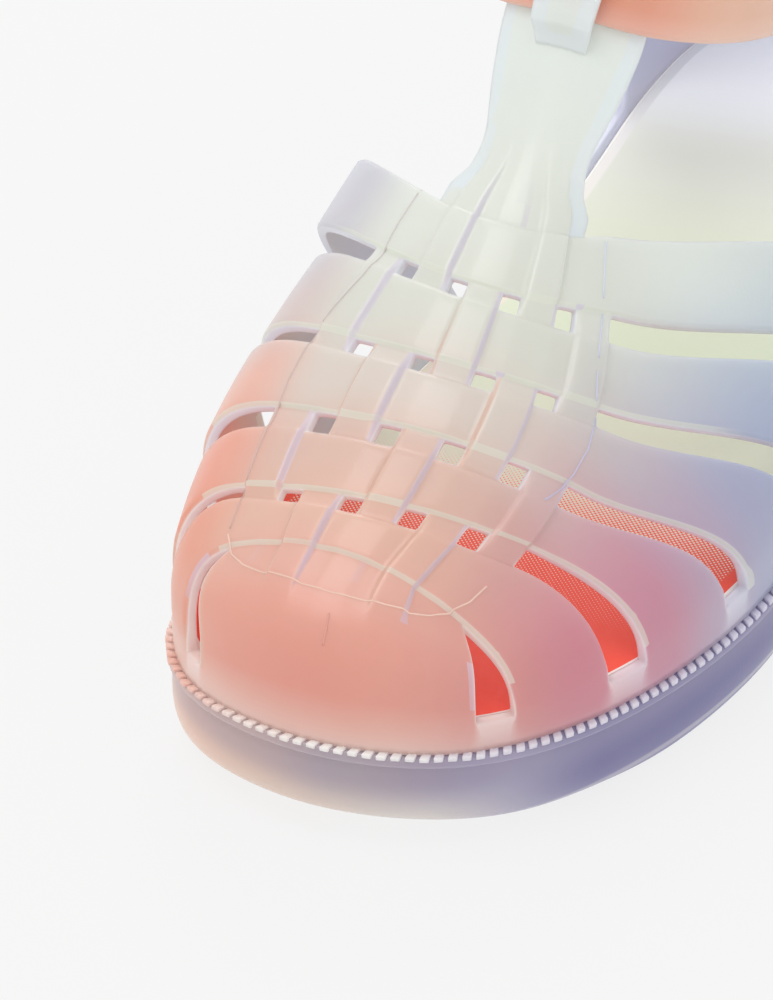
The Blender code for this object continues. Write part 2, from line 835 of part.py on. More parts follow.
def counter_point(column: int, row: int) -> Vector:
    """Return a corner of the heel counter's grid, from the rand to the collar."""
    turn = mix(-1.0, 1.0, column / COUNTER_STEPS)
    side = LATERAL if turn > 0.0 else MEDIAL
    share = mix(1.0, COUNTER_FOOT, abs(turn))
    foot = rim(side, share, RAND_INSET, rand_top)
    outward = rim_frame(side, share)[1]
    outward = Vector((outward.x, -outward.y, 0.0))
    angle = turn * math.pi / 2.0
    end = 0.0 if turn < 0.0 else LOOP.length
    ears = [loop_point(ANKLE_LOOP[index]).x for index in (0, -1)]
    across = mix(ears[0], ears[1], 0.5 + 0.5 * math.sin(angle))
    along = mix(ANKLE_LOOP[0].along, COUNTER_BACK, math.cos(angle)) * SOLE_LENGTH
    back_height = sole_top(COUNTER_BACK * SOLE_LENGTH) + COLLAR_DEPTH
    side_height = band_point(end, BAND_LINES[-1], 0.0).z
    collar = place(across, along, mix(back_height, side_height, turn * turn))
    band_rows = len(BAND_LINES)
    lower_rows = COUNTER_ROWS - band_rows + 1
    if row < lower_rows:
        band_foot = collar - Vector((0.0, 0.0, STRAP_WIDTH))
        share_up = row / lower_rows
        swell = outward * COUNTER_BULGE * math.sin(math.pi * share_up)
        swell.y += COUNTER_CURVE * turn**4 * math.sin(math.pi * share_up)
        return mix(foot, band_foot, share_up) + swell
    lift = BAND_LINES[row - lower_rows] - BAND_LINES[-1]
    if abs(turn) == 1.0:
        return band_point(end, BAND_LINES[row - lower_rows], 0.0)
    return collar + Vector((0.0, 0.0, lift))


COUNTER_ROWS = 6


def add_counter(upper: Solid) -> None:
    """Add the closed heel counter."""

    def wall(column: int, row: int) -> float:
        return RAND_WALL if row == 0 else STRAP_WALL

    upper.patch(COUNTER_STEPS, COUNTER_ROWS, counter_point, wall)


def add_medial_ear(upper: Solid) -> None:
    """Add the counter's inner ear, with the hole for the rivet."""
    stops = (0.0, RIVET_SETBACK - SLOT_WIDTH / 2.0, RIVET_SETBACK + SLOT_WIDTH / 2.0, EAR_LENGTH)

    def point(column: int, row: int) -> Vector:
        return band_point(stops[column], BAND_LINES[row] * (0.7 if column == 3 else 1.0), 0.0)

    upper.patch(3, 3, point, lambda i, j: STRAP_WALL, lambda i, j: (i, j) == (1, 1))


SLEEVE_RADIUS = BAR_RADIUS + GAP + SLEEVE_WALL
BUCKLE_AT = LOOP.length - BUCKLE_SETBACK


def add_buckle_ear(upper: Solid) -> None:
    """Add the counter's outer ear, which ends in a sleeve round the buckle's bar, slotted for the prong."""
    flat = 8
    turns = 9
    path = []
    for step in range(flat):
        path.append((mix(LOOP.length, BUCKLE_AT, step / flat), 0.0))
    for step in range(turns + 1):
        angle = math.radians(-90.0 + 270.0 * step / turns)
        path.append((BUCKLE_AT - SLEEVE_RADIUS * math.cos(angle), SLEEVE_RADIUS * (1.0 + math.sin(angle))))

    def point(column: int, row: int) -> Vector:
        distance, out = path[column]
        return band_point(distance, BAND_LINES[row], out)

    def wall(column: int, row: int) -> float:
        return SLEEVE_WALL if column >= flat else STRAP_WALL

    upper.patch(len(path) - 1, 3, point, wall, lambda i, j: j == 1 and i >= flat - 1)


def tongue_width(share: float) -> float:
    """Return half of the tongue's width at a share of its length."""
    for low, high in zip(TONGUE, TONGUE[1:]):
        if share <= high.at:
            at = ease((share - low.at) / (high.at - low.at))
            return mix(low.share, high.share, at) * TONGUE_WIDTH / 2.0
    return TONGUE[-1].share * TONGUE_WIDTH / 2.0


TONGUE_COLUMNS = range(LINES_PER_BAND - 1, PANEL_LINES - LINES_PER_BAND + 1)


def tongue_point(column: int, step: int) -> Vector:
    """Return a corner of the tongue's grid, from the panel's rear edge up past the ankle strap."""
    line = TONGUE_COLUMNS[column]
    root = panel_point(line, 0)
    if step == 0:
        return root
    shares = [strip_share(at) for at in (TONGUE_COLUMNS[0], line, TONGUE_COLUMNS[-1])]
    turn = mix(-1.0, 1.0, (shares[1] - shares[0]) / (shares[2] - shares[0]))
    share = step / TONGUE_STEPS
    straight = 0.62
    drop = STRAP_WIDTH
    offset = turn * tongue_width(share)
    if share >= straight:
        up = mix(-drop, TONGUE_RISE, (share - straight) / (1.0 - straight))
        return band_point(LOOP_CENTRE + offset, up, 0.0)
    top = band_point(LOOP_CENTRE + offset, -drop, 0.0)
    width = band_frame(LOOP_CENTRE + offset)[2]
    centre = across_panel(0, 0.5)
    rearward = (centre - across_panel(LINES_PER_BAND - 1, 0.5)).normalized()
    centre_top = band_point(LOOP_CENTRE, -drop, 0.0)
    base = top + (centre - centre_top)
    base = mix(root, base, ease(share / 0.28))
    span = (top - base).length
    return bezier(base, base + rearward * span * 0.35, top - width * span * 0.35, top, share / straight)


def add_tongue(upper: Solid) -> None:
    """Add the tongue that rises from the first row and carries the ankle strap."""

    def wall(column: int, step: int) -> float:
        root = WALL + weave_relief(TONGUE_COLUMNS[column], 0)
        return mix(root, STRAP_WALL, ease(step / TONGUE_STEPS * 3.0))

    upper.patch(len(TONGUE_COLUMNS) - 1, TONGUE_STEPS, tongue_point, wall)


def make_tab() -> bpy.types.Object:
    """Make the tab that holds the ankle strap against the tongue, as a tool for the upper."""
    clear = STRAP_WALL * 2.0 + GAP * 3.0
    half = STRAP_WIDTH / 2.0
    path = (
        (-half - TAB_TOE, TAB_SUNK),
        (-half - TAB_FOOT, TAB_FOOT),
        (-half - TAB_SHOULDER, clear),
        (0.0, clear + GAP),
        (half + TAB_SHOULDER, clear),
        (half + TAB_FOOT, TAB_FOOT),
        (half + TAB_TOE, TAB_SUNK),
    )
    tab = Solid("tongue_tab")

    def point(column: int, row: int) -> Vector:
        up, out = path[row]
        return band_point(LOOP_CENTRE + mix(-0.5, 0.5, column / 4) * TAB_WIDTH, up, out)

    tab.patch(4, len(path) - 1, point, lambda i, j: TAB_WALL)
    tab.thicken(Vector((0.0, -1.0, 1.0)))
    piece = tab.finish((0.87, 0.89, 0.87), 0.35)
    piece.hide_render = True
    piece.display_type = "WIRE"
    return piece


def make_upper() -> bpy.types.Object:
    """Make the moulded upper: panel, straps, toe cap, rand, counter, ears and tongue in one wall."""
    upper = Solid("upper")
    add_panel(upper)
    add_side_straps(upper)
    add_toe_cap(upper)
    add_rand(upper)
    add_counter(upper)
    add_medial_ear(upper)
    add_buckle_ear(upper)
    add_tongue(upper)
    upper.thicken(Vector((0.0, -1.0, 1.0)))
    piece = upper.finish((0.85, 0.68, 0.66), 0.35)
    union = piece.modifiers.new("tab", "BOOLEAN")
    union.operation = "UNION"
    union.solver = "EXACT"
    union.object = make_tab()
    return piece


def strap_layer(distance: float) -> float:
    """Return how far the strap's inner face lies out from the loop, rising over the buckle's sleeve."""
    resting = STRAP_WALL + GAP
    crest = 2.0 * SLEEVE_RADIUS + GAP
    near = max(0.0, 1.0 - abs(distance - BUCKLE_AT) / STRAP_RAMP)
    return mix(resting, crest, 0.5 - 0.5 * math.cos(math.pi * near))


STRAP_RAMP = 0.0100
STRAP_HOLE = 0.0036
HOLE_PITCH = 0.0080
HOLE_COUNT = 4


def strap_stops() -> tuple[list[float], set[int]]:
    """Return the strap's stops along the loop and the cells that are holes."""
    start = RIVET_SETBACK - STRAP_HEAD
    end = LOOP.length - STRAP_TAIL
    rivet = (RIVET_SETBACK - STRAP_HOLE / 2.0, RIVET_SETBACK + STRAP_HOLE / 2.0)
    first = BUCKLE_AT - PRONG_HOLE_REACH
    holes = [rivet] + [
        (first - index * HOLE_PITCH - STRAP_HOLE / 2.0, first - index * HOLE_PITCH + STRAP_HOLE / 2.0)
        for index in range(HOLE_COUNT)
    ]
    marks = sorted([start, BUCKLE_AT, end] + [edge for hole in holes for edge in hole])
    stops = [marks[0]]
    for low, high in zip(marks, marks[1:]):
        pieces = max(1, round((high - low) / STRAP_STEP))
        stops += [mix(low, high, step / pieces) for step in range(1, pieces + 1)]
    middles = [(low + high) / 2.0 for low, high in zip(stops, stops[1:])]
    cells = {i for i, middle in enumerate(middles) if any(low < middle < high for low, high in holes)}
    return stops, cells


def make_ankle_strap() -> bpy.types.Object:
    """Make the strap, riveted to the inner ear, that runs round the ankle to the buckle."""
    stops, holes = strap_stops()
    strap = Solid("ankle_strap")

    def point(column: int, row: int) -> Vector:
        at_end = column in (0, len(stops) - 1)
        up = BAND_LINES[row] * (0.7 if at_end else 1.0)
        return band_point(stops[column], up, strap_layer(stops[column]))

    strap.patch(len(stops) - 1, 3, point, lambda i, j: STRAP_WALL, lambda i, j: j == 1 and i in holes)
    strap.thicken(Vector((0.0, -1.0, 1.0)))
    return strap.finish((0.86, 0.55, 0.45), 0.35)


def rod(name: str, path: list[Vector], radius: float, closed: bool) -> Solid:
    """Return a round bar along a path, either closed on itself or with flat ends."""
    solid = Solid(name)
    sides = 8
    count = len(path)
    rings = []
    for index, centre in enumerate(path):
        before = path[index - 1] if closed or index > 0 else path[0]
        after = path[(index + 1) % count] if closed or index < count - 1 else path[-1]
        run = (after - before).normalized()
        first = run.cross(Vector((0.31, 0.17, 0.93))).normalized()
        second = run.cross(first)
        rings.append((centre, first, second))

    def point(column: int, row: int) -> Vector:
        centre, first, second = rings[row % count]
        angle = math.tau * column / sides
        return centre + (first * math.cos(angle) + second * math.sin(angle)) * radius

    solid.patch(sides, count if closed else count - 1, point)
    if not closed:
        mesh = solid.mesh
        bmesh.ops.remove_doubles(mesh, verts=mesh.verts, dist=WELD)
        bmesh.ops.holes_fill(mesh, edges=[edge for edge in mesh.edges if edge.is_boundary], sides=sides)
    return solid


def make_buckle_frame() -> bpy.types.Object:
    """Make the buckle's frame, whose rear bar turns in the ear's sleeve."""
    half = STRAP_WIDTH / 2.0 + BAR_RADIUS + 0.0012
    rear_out = SLEEVE_RADIUS
    front_out = 2.0 * STRAP_WALL + 2.0 * GAP + BAR_RADIUS
    corner = BUCKLE_CORNER
    path = []
    centres = ((0.0, 1), (BUCKLE_REACH, 1), (BUCKLE_REACH, -1), (0.0, -1))
    for index, (ahead, side) in enumerate(centres):
        inner_ahead = ahead + (corner if ahead == 0.0 else -corner)
        inner_up = side * (half - corner)
        for step in range(4):
            angle = math.radians(180.0 - 90.0 * index - 90.0 * step / 3)
            reach = inner_ahead + corner * math.cos(angle)
            up = inner_up + corner * math.sin(angle)
            out = mix(rear_out, front_out, reach / BUCKLE_REACH)
            path.append(band_point(BUCKLE_AT - reach, up, out))
    return rod("buckle_frame", path, BAR_RADIUS, True).finish((0.80, 0.80, 0.82), 0.25, 1.0)


def make_buckle_prong() -> bpy.types.Object:
    """Make the prong, hooked round the rear bar and resting on the front one."""
    ring = BAR_RADIUS + GAP + PRONG_RADIUS
    rest_out = 2.0 * STRAP_WALL + 3.0 * GAP + 2.0 * BAR_RADIUS + PRONG_RADIUS
    path = []
    for step in range(10):
        angle = math.radians(-60.0 - 285.0 * step / 9)
        path.append((ring * math.cos(angle), SLEEVE_RADIUS + ring * math.sin(angle)))
    lifts = [mix(SLEEVE_RADIUS, rest_out, share) for share in PRONG_SHARES]
    path += [(ring + ahead, out) for ahead, out in zip(PRONG_REACHES, lifts)]
    path += [
        (BUCKLE_REACH * 0.7, rest_out - GAP / 3.0),
        (BUCKLE_REACH, rest_out),
        (BUCKLE_REACH + BAR_RADIUS * 1.8, rest_out),
    ]
    points = [band_point(BUCKLE_AT - ahead, 0.0, out) for ahead, out in path]
    return rod("buckle_prong", points, PRONG_RADIUS, False).finish((0.80, 0.80, 0.82), 0.25, 1.0)


def make_strap_keeper() -> bpy.types.Object:
    """Make the loose loop that holds the strap's free end to the outer ear."""
    keeper = Solid("strap_keeper")
    half = STRAP_WIDTH / 2.0 + GAP
    low = -GAP
    high = 2.0 * STRAP_WALL + 2.0 * GAP
    corners = ((-half, low), (half, low), (half, high), (-half, high), (-half, low))
    middle = LOOP.length - KEEPER_SETBACK

    def point(column: int, row: int) -> Vector:
        up, out = corners[column]
        return band_point(middle + mix(-0.5, 0.5, row / 2) * KEEPER_LENGTH, up, out)

    keeper.patch(4, 2, point, lambda i, j: KEEPER_WALL)
    keeper.thicken(Vector((0.0, 0.0, 1.0)))
    return keeper.finish((0.86, 0.55, 0.45), 0.35)


def make_strap_rivet() -> bpy.types.Object:
    """Make the rivet that holds the ankle strap to the inner ear."""
    centre, _, _, outward = band_frame(RIVET_SETBACK)
    stack = 2.0 * STRAP_WALL + GAP
    profile = (
        (0.0, -GAP - RIVET_HEAD),
        (RIVET_HEAD_RADIUS * 0.8, -GAP - RIVET_HEAD),
        (RIVET_HEAD_RADIUS, -GAP),
        (RIVET_RADIUS, -GAP),
        (RIVET_RADIUS, stack + GAP),
        (RIVET_HEAD_RADIUS, stack + GAP),
        (RIVET_HEAD_RADIUS * 0.7, stack + GAP + RIVET_HEAD),
        (0.0, stack + GAP + RIVET_HEAD * 1.2),
    )
    rivet = Solid("strap_rivet")
    first = outward.cross(Vector((0.0, 0.0, 1.0))).normalized()
    second = outward.cross(first)
    sides = 12

    def point(column: int, row: int) -> Vector:
        radius, out = profile[row]
        angle = math.tau * column / sides
        return centre + outward * out + (first * math.cos(angle) + second * math.sin(angle)) * radius

    rivet.patch(sides, len(profile) - 1, point)
    return rivet.finish((0.80, 0.80, 0.82), 0.25, 1.0)


def centre_pieces(pieces: list[bpy.types.Object]) -> None:
    """Move every mesh so that the sandal stands on z = 0 with the origin under its middle."""
    corners = [vert.co for piece in pieces for vert in piece.data.vertices]
    low = Vector([min(corner[axis] for corner in corners) for axis in range(3)])
    high = Vector([max(corner[axis] for corner in corners) for axis in range(3)])
    shift = Vector((-(low.x + high.x) / 2.0, -(low.y + high.y) / 2.0, -low.z))
    for piece in bpy.context.scene.objects:
        for vert in piece.data.vertices:
            vert.co += shift


def main() -> None:
    """Build the sandal."""
    for piece in list(bpy.context.scene.objects):
        bpy.data.objects.remove(piece)
    pieces = [
        make_outsole(),
        make_insole(),
        make_upper(),
        make_ankle_strap(),
        make_strap_rivet(),
        make_buckle_frame(),
        make_buckle_prong(),
        make_strap_keeper(),
    ]
    centre_pieces(pieces)


main()
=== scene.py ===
"""Looks of the jelly sandal: frosted plastic that fades from salmon at the toe to lavender at the heel."""

import logging
import math
from dataclasses import dataclass, field
from enum import Enum

import bmesh
import bpy
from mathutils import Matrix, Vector
from mathutils.bvhtree import BVHTree


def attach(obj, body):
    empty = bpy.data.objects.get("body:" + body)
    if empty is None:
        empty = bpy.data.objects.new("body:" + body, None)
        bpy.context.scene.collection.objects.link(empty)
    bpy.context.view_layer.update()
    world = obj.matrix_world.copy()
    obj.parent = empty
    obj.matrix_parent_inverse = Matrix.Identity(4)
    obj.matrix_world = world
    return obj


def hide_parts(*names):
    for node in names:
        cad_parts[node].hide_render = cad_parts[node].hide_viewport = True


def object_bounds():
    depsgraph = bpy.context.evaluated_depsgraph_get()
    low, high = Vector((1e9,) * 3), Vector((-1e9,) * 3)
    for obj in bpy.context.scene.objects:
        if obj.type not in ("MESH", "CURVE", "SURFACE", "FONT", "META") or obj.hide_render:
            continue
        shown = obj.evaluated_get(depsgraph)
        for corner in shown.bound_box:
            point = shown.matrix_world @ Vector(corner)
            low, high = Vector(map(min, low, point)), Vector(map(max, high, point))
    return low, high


logging.basicConfig(level=logging.INFO, format="%(message)s")
LOG = logging.getLogger("sandal")

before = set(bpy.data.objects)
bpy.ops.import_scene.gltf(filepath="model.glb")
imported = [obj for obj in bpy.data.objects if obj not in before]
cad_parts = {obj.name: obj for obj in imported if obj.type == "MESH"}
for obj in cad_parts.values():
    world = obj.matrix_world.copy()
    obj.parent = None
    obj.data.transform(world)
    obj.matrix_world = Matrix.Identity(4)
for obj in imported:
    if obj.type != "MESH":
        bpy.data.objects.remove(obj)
CAD_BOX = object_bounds()

PICTURE_WIDTH = 773
PICTURE_HEIGHT = 1000
SENSOR = 36.0
MERGE_DISTANCE = 0.00002
MILLIMETRES = 1000.0
UP = Vector((0.0, 0.0, 1.0))
BLACK = (0.0, 0.0, 0.0, 1.0)
FOOT_LENGTH = CAD_BOX[1][1] - CAD_BOX[0][1]

Colour = tuple[float, float, float]
Stops = tuple[tuple[float, str], ...]


class Role(Enum):
    """The attributes that a piece's mesh carries for its material.

    They mark cut edges, the steep sides that lean to the front, the outer side or the inner side, the
    band of the rand, and the border of the footbed.
    """

    LIP = "lip"
    FRONT = "front"
    OUTER = "outer"
    INNER = "inner"
    BAND = "band"
    BORDER = "border"


def linear(code: str, alpha: float = 1.0) -> tuple[float, float, float, float]:
    """Turn a colour written as six hex digits into linear light.

    Args:
        code: the six hex digits.
        alpha: the opacity to add.

    Returns:
        Red, green, blue and alpha.
    """
    values = []
    for at in (0, 2, 4):
        share = int(code[at : at + 2], 16) / 255.0
        values.append(share / 12.92 if share <= 0.04045 else ((share + 0.055) / 1.055) ** 2.4)
    return (*values, alpha)


def ease(value: float) -> float:
    """Return a soft step of a value from 0 to 1."""
    value = min(max(value, 0.0), 1.0)
    return value * value * (3.0 - 2.0 * value)


class Tree:
    """A node tree with short ways to add and join its nodes."""

    def __init__(self, tree: bpy.types.NodeTree):
        """Keep the tree.

        Args:
            tree: the material's or group's node tree.
        """
        self.tree = tree

    def add(self, kind: str, **values: object) -> bpy.types.Node:
        """Add a node and set its properties.

        Args:
            kind: the node's type.
            values: its properties by name.

        Returns:
            The node.
        """
        node = self.tree.nodes.new(kind)
        for name, value in values.items():
            setattr(node, name, value)
        return node

    def feed(self, socket: bpy.types.NodeSocket, value: object) -> None:
        """Set a socket to a constant, or link it to an output."""
        if isinstance(value, bpy.types.NodeSocket):
            self.tree.links.new(value, socket)
        else:
            socket.default_value = value

    def math(
        self, operation: str, first: object, second: object = 0.0, clamp: bool = False
    ) -> bpy.types.NodeSocket:
        """Return the output of a Math node.

        Args:
            operation: the node's operation.
            first: its first value or output.
            second: its second value or output.
            clamp: whether it is kept between 0 and 1.

        Returns:
            The node's output.
        """
        node = self.add("ShaderNodeMath", operation=operation, use_clamp=clamp)
        self.feed(node.inputs[0], first)
        self.feed(node.inputs[1], second)
        return node.outputs[0]

    def times(self, *values: object) -> bpy.types.NodeSocket:
        """Return the product of several values."""
        product = values[0]
        for value in values[1:]:
            product = self.math("MULTIPLY", product, value)
        return product

    def line(self, value: object, slope: float, start: object) -> bpy.types.NodeSocket:
        """Return a value times a slope, added to a start."""
        node = self.add("ShaderNodeMath", operation="MULTIPLY_ADD")
        for socket, part in zip(node.inputs, (value, slope, start)):
            self.feed(socket, part)
        return node.outputs[0]

    def span(self, value: object, low: float, high: float) -> bpy.types.NodeSocket:
        """Return a soft step of a value, from 0 at the low end to 1 at the high end."""
        node = self.add("ShaderNodeMapRange", interpolation_type="SMOOTHSTEP")
        self.feed(node.inputs["Value"], value)
        node.inputs["From Min"].default_value = low
        node.inputs["From Max"].default_value = high
        return node.outputs[0]

    def mix(self, share: object, first: object, second: object) -> bpy.types.NodeSocket:
        """Return a mix of two colours."""
        node = self.add("ShaderNodeMix", data_type="RGBA")
        self.feed(node.inputs[0], share)
        self.feed(node.inputs[6], first)
        self.feed(node.inputs[7], second)
        return node.outputs[2]

    def ramp(self, value: object, stops: Stops) -> bpy.types.NodeSocket:
        """Return a colour read from a table of stops.

        Args:
            value: the place along the ramp, from 0 to 1.
            stops: places and colours.

        Returns:
            The ramp's colour output.
        """
        node = self.add("ShaderNodeValToRGB")
        band = node.color_ramp
        band.interpolation = "EASE"
        while len(band.elements) < len(stops):
            band.elements.new(0.5)
        for element, (place, code) in zip(band.elements, stops):
            element.position = place
            element.color = linear(code)
        self.feed(node.inputs[0], value)
        return node.outputs[0]

    def attribute(self, role: Role) -> bpy.types.NodeSocket:
        """Return the value of a mesh attribute."""
        return self.add("ShaderNodeAttribute", attribute_name=role.value).outputs["Fac"]

    def place(self) -> bpy.types.NodeSocket:
        """Return the place of the shaded point on the object."""
        return self.add("ShaderNodeTexCoord").outputs["Object"]

    def parts(self) -> tuple[bpy.types.NodeSocket, bpy.types.NodeSocket, bpy.types.NodeSocket]:
        """Return that place as three numbers: across, along and up."""
        split = self.add("ShaderNodeSeparateXYZ")
        self.feed(split.inputs[0], self.place())
        return tuple(split.outputs[:3])

    def noise(self, scale: float, detail: float | None = None) -> bpy.types.NodeSocket:
        """Return the value of a noise of the given fineness."""
        node = self.add("ShaderNodeTexNoise")
        self.feed(node.inputs["Vector"], self.place())
        node.inputs["Scale"].default_value = scale
        if detail is not None:
            node.inputs["Detail"].default_value = detail
        return node.outputs[0]

    def foot_share(self, along: bpy.types.NodeSocket) -> bpy.types.NodeSocket:
        """Return the share of the foot's length that lies in front of a place."""
        return self.line(along, 1.0 / FOOT_LENGTH, 0.5)

    def sole_share(self, across: bpy.types.NodeSocket, along: bpy.types.NodeSocket) -> bpy.types.NodeSocket:
        """Return how far back a place lies on the sole, counted from its inner toe."""
        turned = self.line(across, SOLE_TURN, along)
        return self.line(turned, 1.0 / FOOT_LENGTH, SOLE_START)

    def dimmed(self, colour: bpy.types.NodeSocket, strength: float) -> bpy.types.NodeSocket:
        """Return a colour at a share of its strength."""
        return self.mix(1.0 - strength, colour, BLACK)


def group(name: str, inputs: dict[str, float], outputs: dict[str, str]) -> tuple[bpy.types.NodeTree, Tree]:
    """Start a shader node group.

    Args:
        name: the group's name.
        inputs: names and defaults of its numbers.
        outputs: names and socket types of what it puts out.

    Returns:
        The group and a builder for its nodes.
    """
    made = bpy.data.node_groups.new(name, "ShaderNodeTree")
    for label, value in inputs.items():
        socket = made.interface.new_socket(label, in_out="INPUT", socket_type="NodeSocketFloat")
        socket.default_value = value
    for label, kind in outputs.items():
        made.interface.new_socket(label, in_out="OUTPUT", socket_type=kind)
    return made, Tree(made)


MIDDLE_FADE: Stops = (
    (0.000, "DF9C8C"),
    (0.030, "E1A796"),
    (0.060, "E0B2A2"),
    (0.090, "DEB8A6"),
    (0.140, "D9BBAD"),
    (0.190, "D8CEC5"),
    (0.250, "D7D8CF"),
    (0.310, "DBDED6"),
    (0.420, "DFE4DF"),
    (0.600, "D3DADB"),
    (1.000, "BAB8D0"),
)
OUTER_FADE: Stops = (
    (0.000, "DC9A90"),
    (0.060, "D4908D"),
    (0.116, "CF8996"),
    (0.190, "CA90A3"),
    (0.250, "BBA8BC"),
    (0.310, "ABADC7"),
    (0.370, "A4AFCA"),
    (0.450, "AAB9CD"),
    (0.600, "BCCBD4"),
    (0.800, "AEB2CE"),
    (1.000, "A6A2C6"),
)
INNER_FADE: Stops = (
    (0.000, "E0A08A"),
    (0.076, "E1987D"),
    (0.147, "E5A490"),
    (0.200, "E4B6A6"),
    (0.260, "D2C2BE"),
    (0.335, "C6C4CA"),
    (0.450, "C6C6D2"),
    (0.620, "CAD0DA"),
    (0.800, "BDBCD6"),
    (1.000, "A9A5CA"),
)
# Colours of the painted highlights on the upper's lips, from the toe to the heel.
LIP_FADE: Stops = ((0.00, "DFD6D4"), (0.10, "E3DDDA"), (0.20, "DADCE4"), (0.34, "D0D8E0"), (1.00, "C4C5E2"))
STRAP_FADE: Stops = ((0.0, "DC8C70"), (0.20, "DF9F85"), (0.45, "E3BEA8"), (0.70, "E2CFC0"), (1.0, "D5C0C0"))
SOLE_FADE: Stops = (
    (0.000, "E6BBA8"),
    (0.050, "D9BBAE"),
    (0.130, "BFB1B4"),
    (0.280, "A49EB9"),
    (0.420, "74709E"),
    (0.600, "6C699A"),
    (1.000, "9893BE"),
)
SOLE_CLEAR: Stops = (
    (0.00, "F2C6B0"),
    (0.08, "E8D0C0"),
    (0.20, "E2DAD2"),
    (0.40, "A8A4C0"),
    (1.00, "A8A4C0"),
)
WELT_FADE: Stops = (
    (0.00, "DDA292"),
    (0.06, "E6D6CF"),
    (0.12, "ECE7E2"),
    (0.32, "D4CFDC"),
    (1.00, "B5B2D2"),
)

SOLE_TURN = 1.1
SOLE_START = 0.62
STRAP_MIDDLE = -0.004
STRAP_STEEPNESS = 18.0
OUTER_DRIFT = 0.16
OUTER_BLEND = (0.020, 0.052)
INNER_BLEND = (-0.024, -0.040)
CLOUD_FINENESS = 45.0
CLOUD_DETAIL = 2.0
UNEVENNESS = 0.10
GRAIN_FINENESS = 1400.0
GRAIN_DETAIL = 3.0
SWELL_FINENESS = 90.0
SWELL_HEIGHT = 0.6
SWELL_ROUGHNESS = 0.14


def colour_fade() -> bpy.types.NodeTree:
    """Make the group that gives the plastic's colour from the place on the foot.

    Returns:
        A group whose input lifts the colour towards white and whose output is the colour.
    """
    made, tree = group("colour fade", {"Frost": 0.0}, {"Color": "NodeSocketColor"})
    entry = tree.add("NodeGroupInput")
    leave = tree.add("NodeGroupOutput")
    across, along, _ = tree.parts()
    share = tree.foot_share(along)
    middle = tree.ramp(share, MIDDLE_FADE)
    outer = tree.ramp(share, OUTER_FADE)
    inner = tree.ramp(share, INNER_FADE)
    outward = tree.math("SUBTRACT", across, tree.times(along, OUTER_DRIFT))
    mixed = tree.mix(tree.span(outward, *OUTER_BLEND), middle, outer)
    mixed = tree.mix(tree.span(across, *INNER_BLEND), mixed, inner)
    clouds = tree.noise(CLOUD_FINENESS, CLOUD_DETAIL)
    uneven = tree.line(clouds, UNEVENNESS, -UNEVENNESS / 2.0)
    frost = tree.math("ADD", entry.outputs[0], uneven, clamp=True)
    tree.feed(leave.inputs[0], tree.mix(frost, mixed, linear("F1F3EC")))
    return made


def fine_grain() -> bpy.types.NodeTree:
    """Make the group of the moulded surface: a fine spark-eroded grain on a faint swell.

    Returns:
        A group that puts out a height for bump and a roughness.
    """
    sockets = {"Height": "NodeSocketFloat", "Roughness": "NodeSocketFloat"}
    made, tree = group("fine grain", {"Smoothness": 0.4}, sockets)
    entry = tree.add("NodeGroupInput")
    leave = tree.add("NodeGroupOutput")
    grain = tree.noise(GRAIN_FINENESS, GRAIN_DETAIL)
    swell = tree.noise(SWELL_FINENESS)
    tree.feed(leave.inputs[0], tree.line(swell, SWELL_HEIGHT, grain))
    smoothness = tree.math("SUBTRACT", entry.outputs[0], SWELL_ROUGHNESS / 2.0)
    tree.feed(leave.inputs[1], tree.line(swell, SWELL_ROUGHNESS, smoothness))
    return made


@dataclass(frozen=True)
class Groups:
    """The node groups that the materials share."""

    fade: bpy.types.NodeTree = field(default_factory=colour_fade)
    grain: bpy.types.NodeTree = field(default_factory=fine_grain)

    def colour(self, tree: Tree, frost: object) -> bpy.types.NodeSocket:
        """Place the fade in a material and return its colour."""
        node = tree.add("ShaderNodeGroup", node_tree=self.fade)
        tree.feed(node.inputs[0], frost)
        return node.outputs[0]

    def surface(self, tree: Tree, shader: bpy.types.Node, smoothness: float, depth: float) -> None:
        """Give a shader the grain's bump and roughness.

        Args:
            tree: the material's builder.
            shader: its Principled shader.
            smoothness: the middle roughness.
            depth: the bump's distance in metres.
        """
        node = tree.add("ShaderNodeGroup", node_tree=self.grain)
        node.inputs[0].default_value = smoothness
        bump = tree.add("ShaderNodeBump")
        bump.inputs["Strength"].default_value = 0.35
        bump.inputs["Distance"].default_value = depth
        tree.feed(bump.inputs["Height"], node.outputs[0])
        tree.feed(shader.inputs["Normal"], bump.outputs[0])
        tree.feed(shader.inputs["Roughness"], node.outputs[1])


def start_material(name: str) -> tuple[bpy.types.Material, Tree, bpy.types.Node]:
    """Make an empty material with a Principled shader.

    Args:
        name: the material's name.

    Returns:
        The material, a builder for its nodes, and the shader.
    """
    material = bpy.data.materials.new(name)
    material.use_nodes = True
    return material, Tree(material.node_tree), material.node_tree.nodes["Principled BSDF"]


@dataclass(frozen=True)
class SoleTones:
    """Where the sole's tones change and how strong they are.

    The forefoot ends by a share of the length counted from the inner toe, and the rest by heights in metres.
    """

    forefoot: tuple[float, float] = (0.42, 0.20)
    clear: tuple[float, float] = (0.0150, 0.0050)
    # Painted highlight: a thin bright line near the ground, between these two heights.
    highlight_foot: tuple[float, float] = (0.0020, 0.0028)
    highlight_top: tuple[float, float] = (0.0042, 0.0034)
    # Painted shade under the welt, between these heights.
    shade: tuple[float, float] = (0.0095, 0.0155)
    # Painted light: the top of the sole's outer side is lightened between these heights, lifting the shade
    # under the welt.
    outer: tuple[float, float] = (0.0080, 0.0150)
    clear_strength: float = 0.90
    highlight_strength: float = 0.30
    shade_strength: float = 0.42
    outer_painted_light: float = 0.25
    depth: float = 0.13


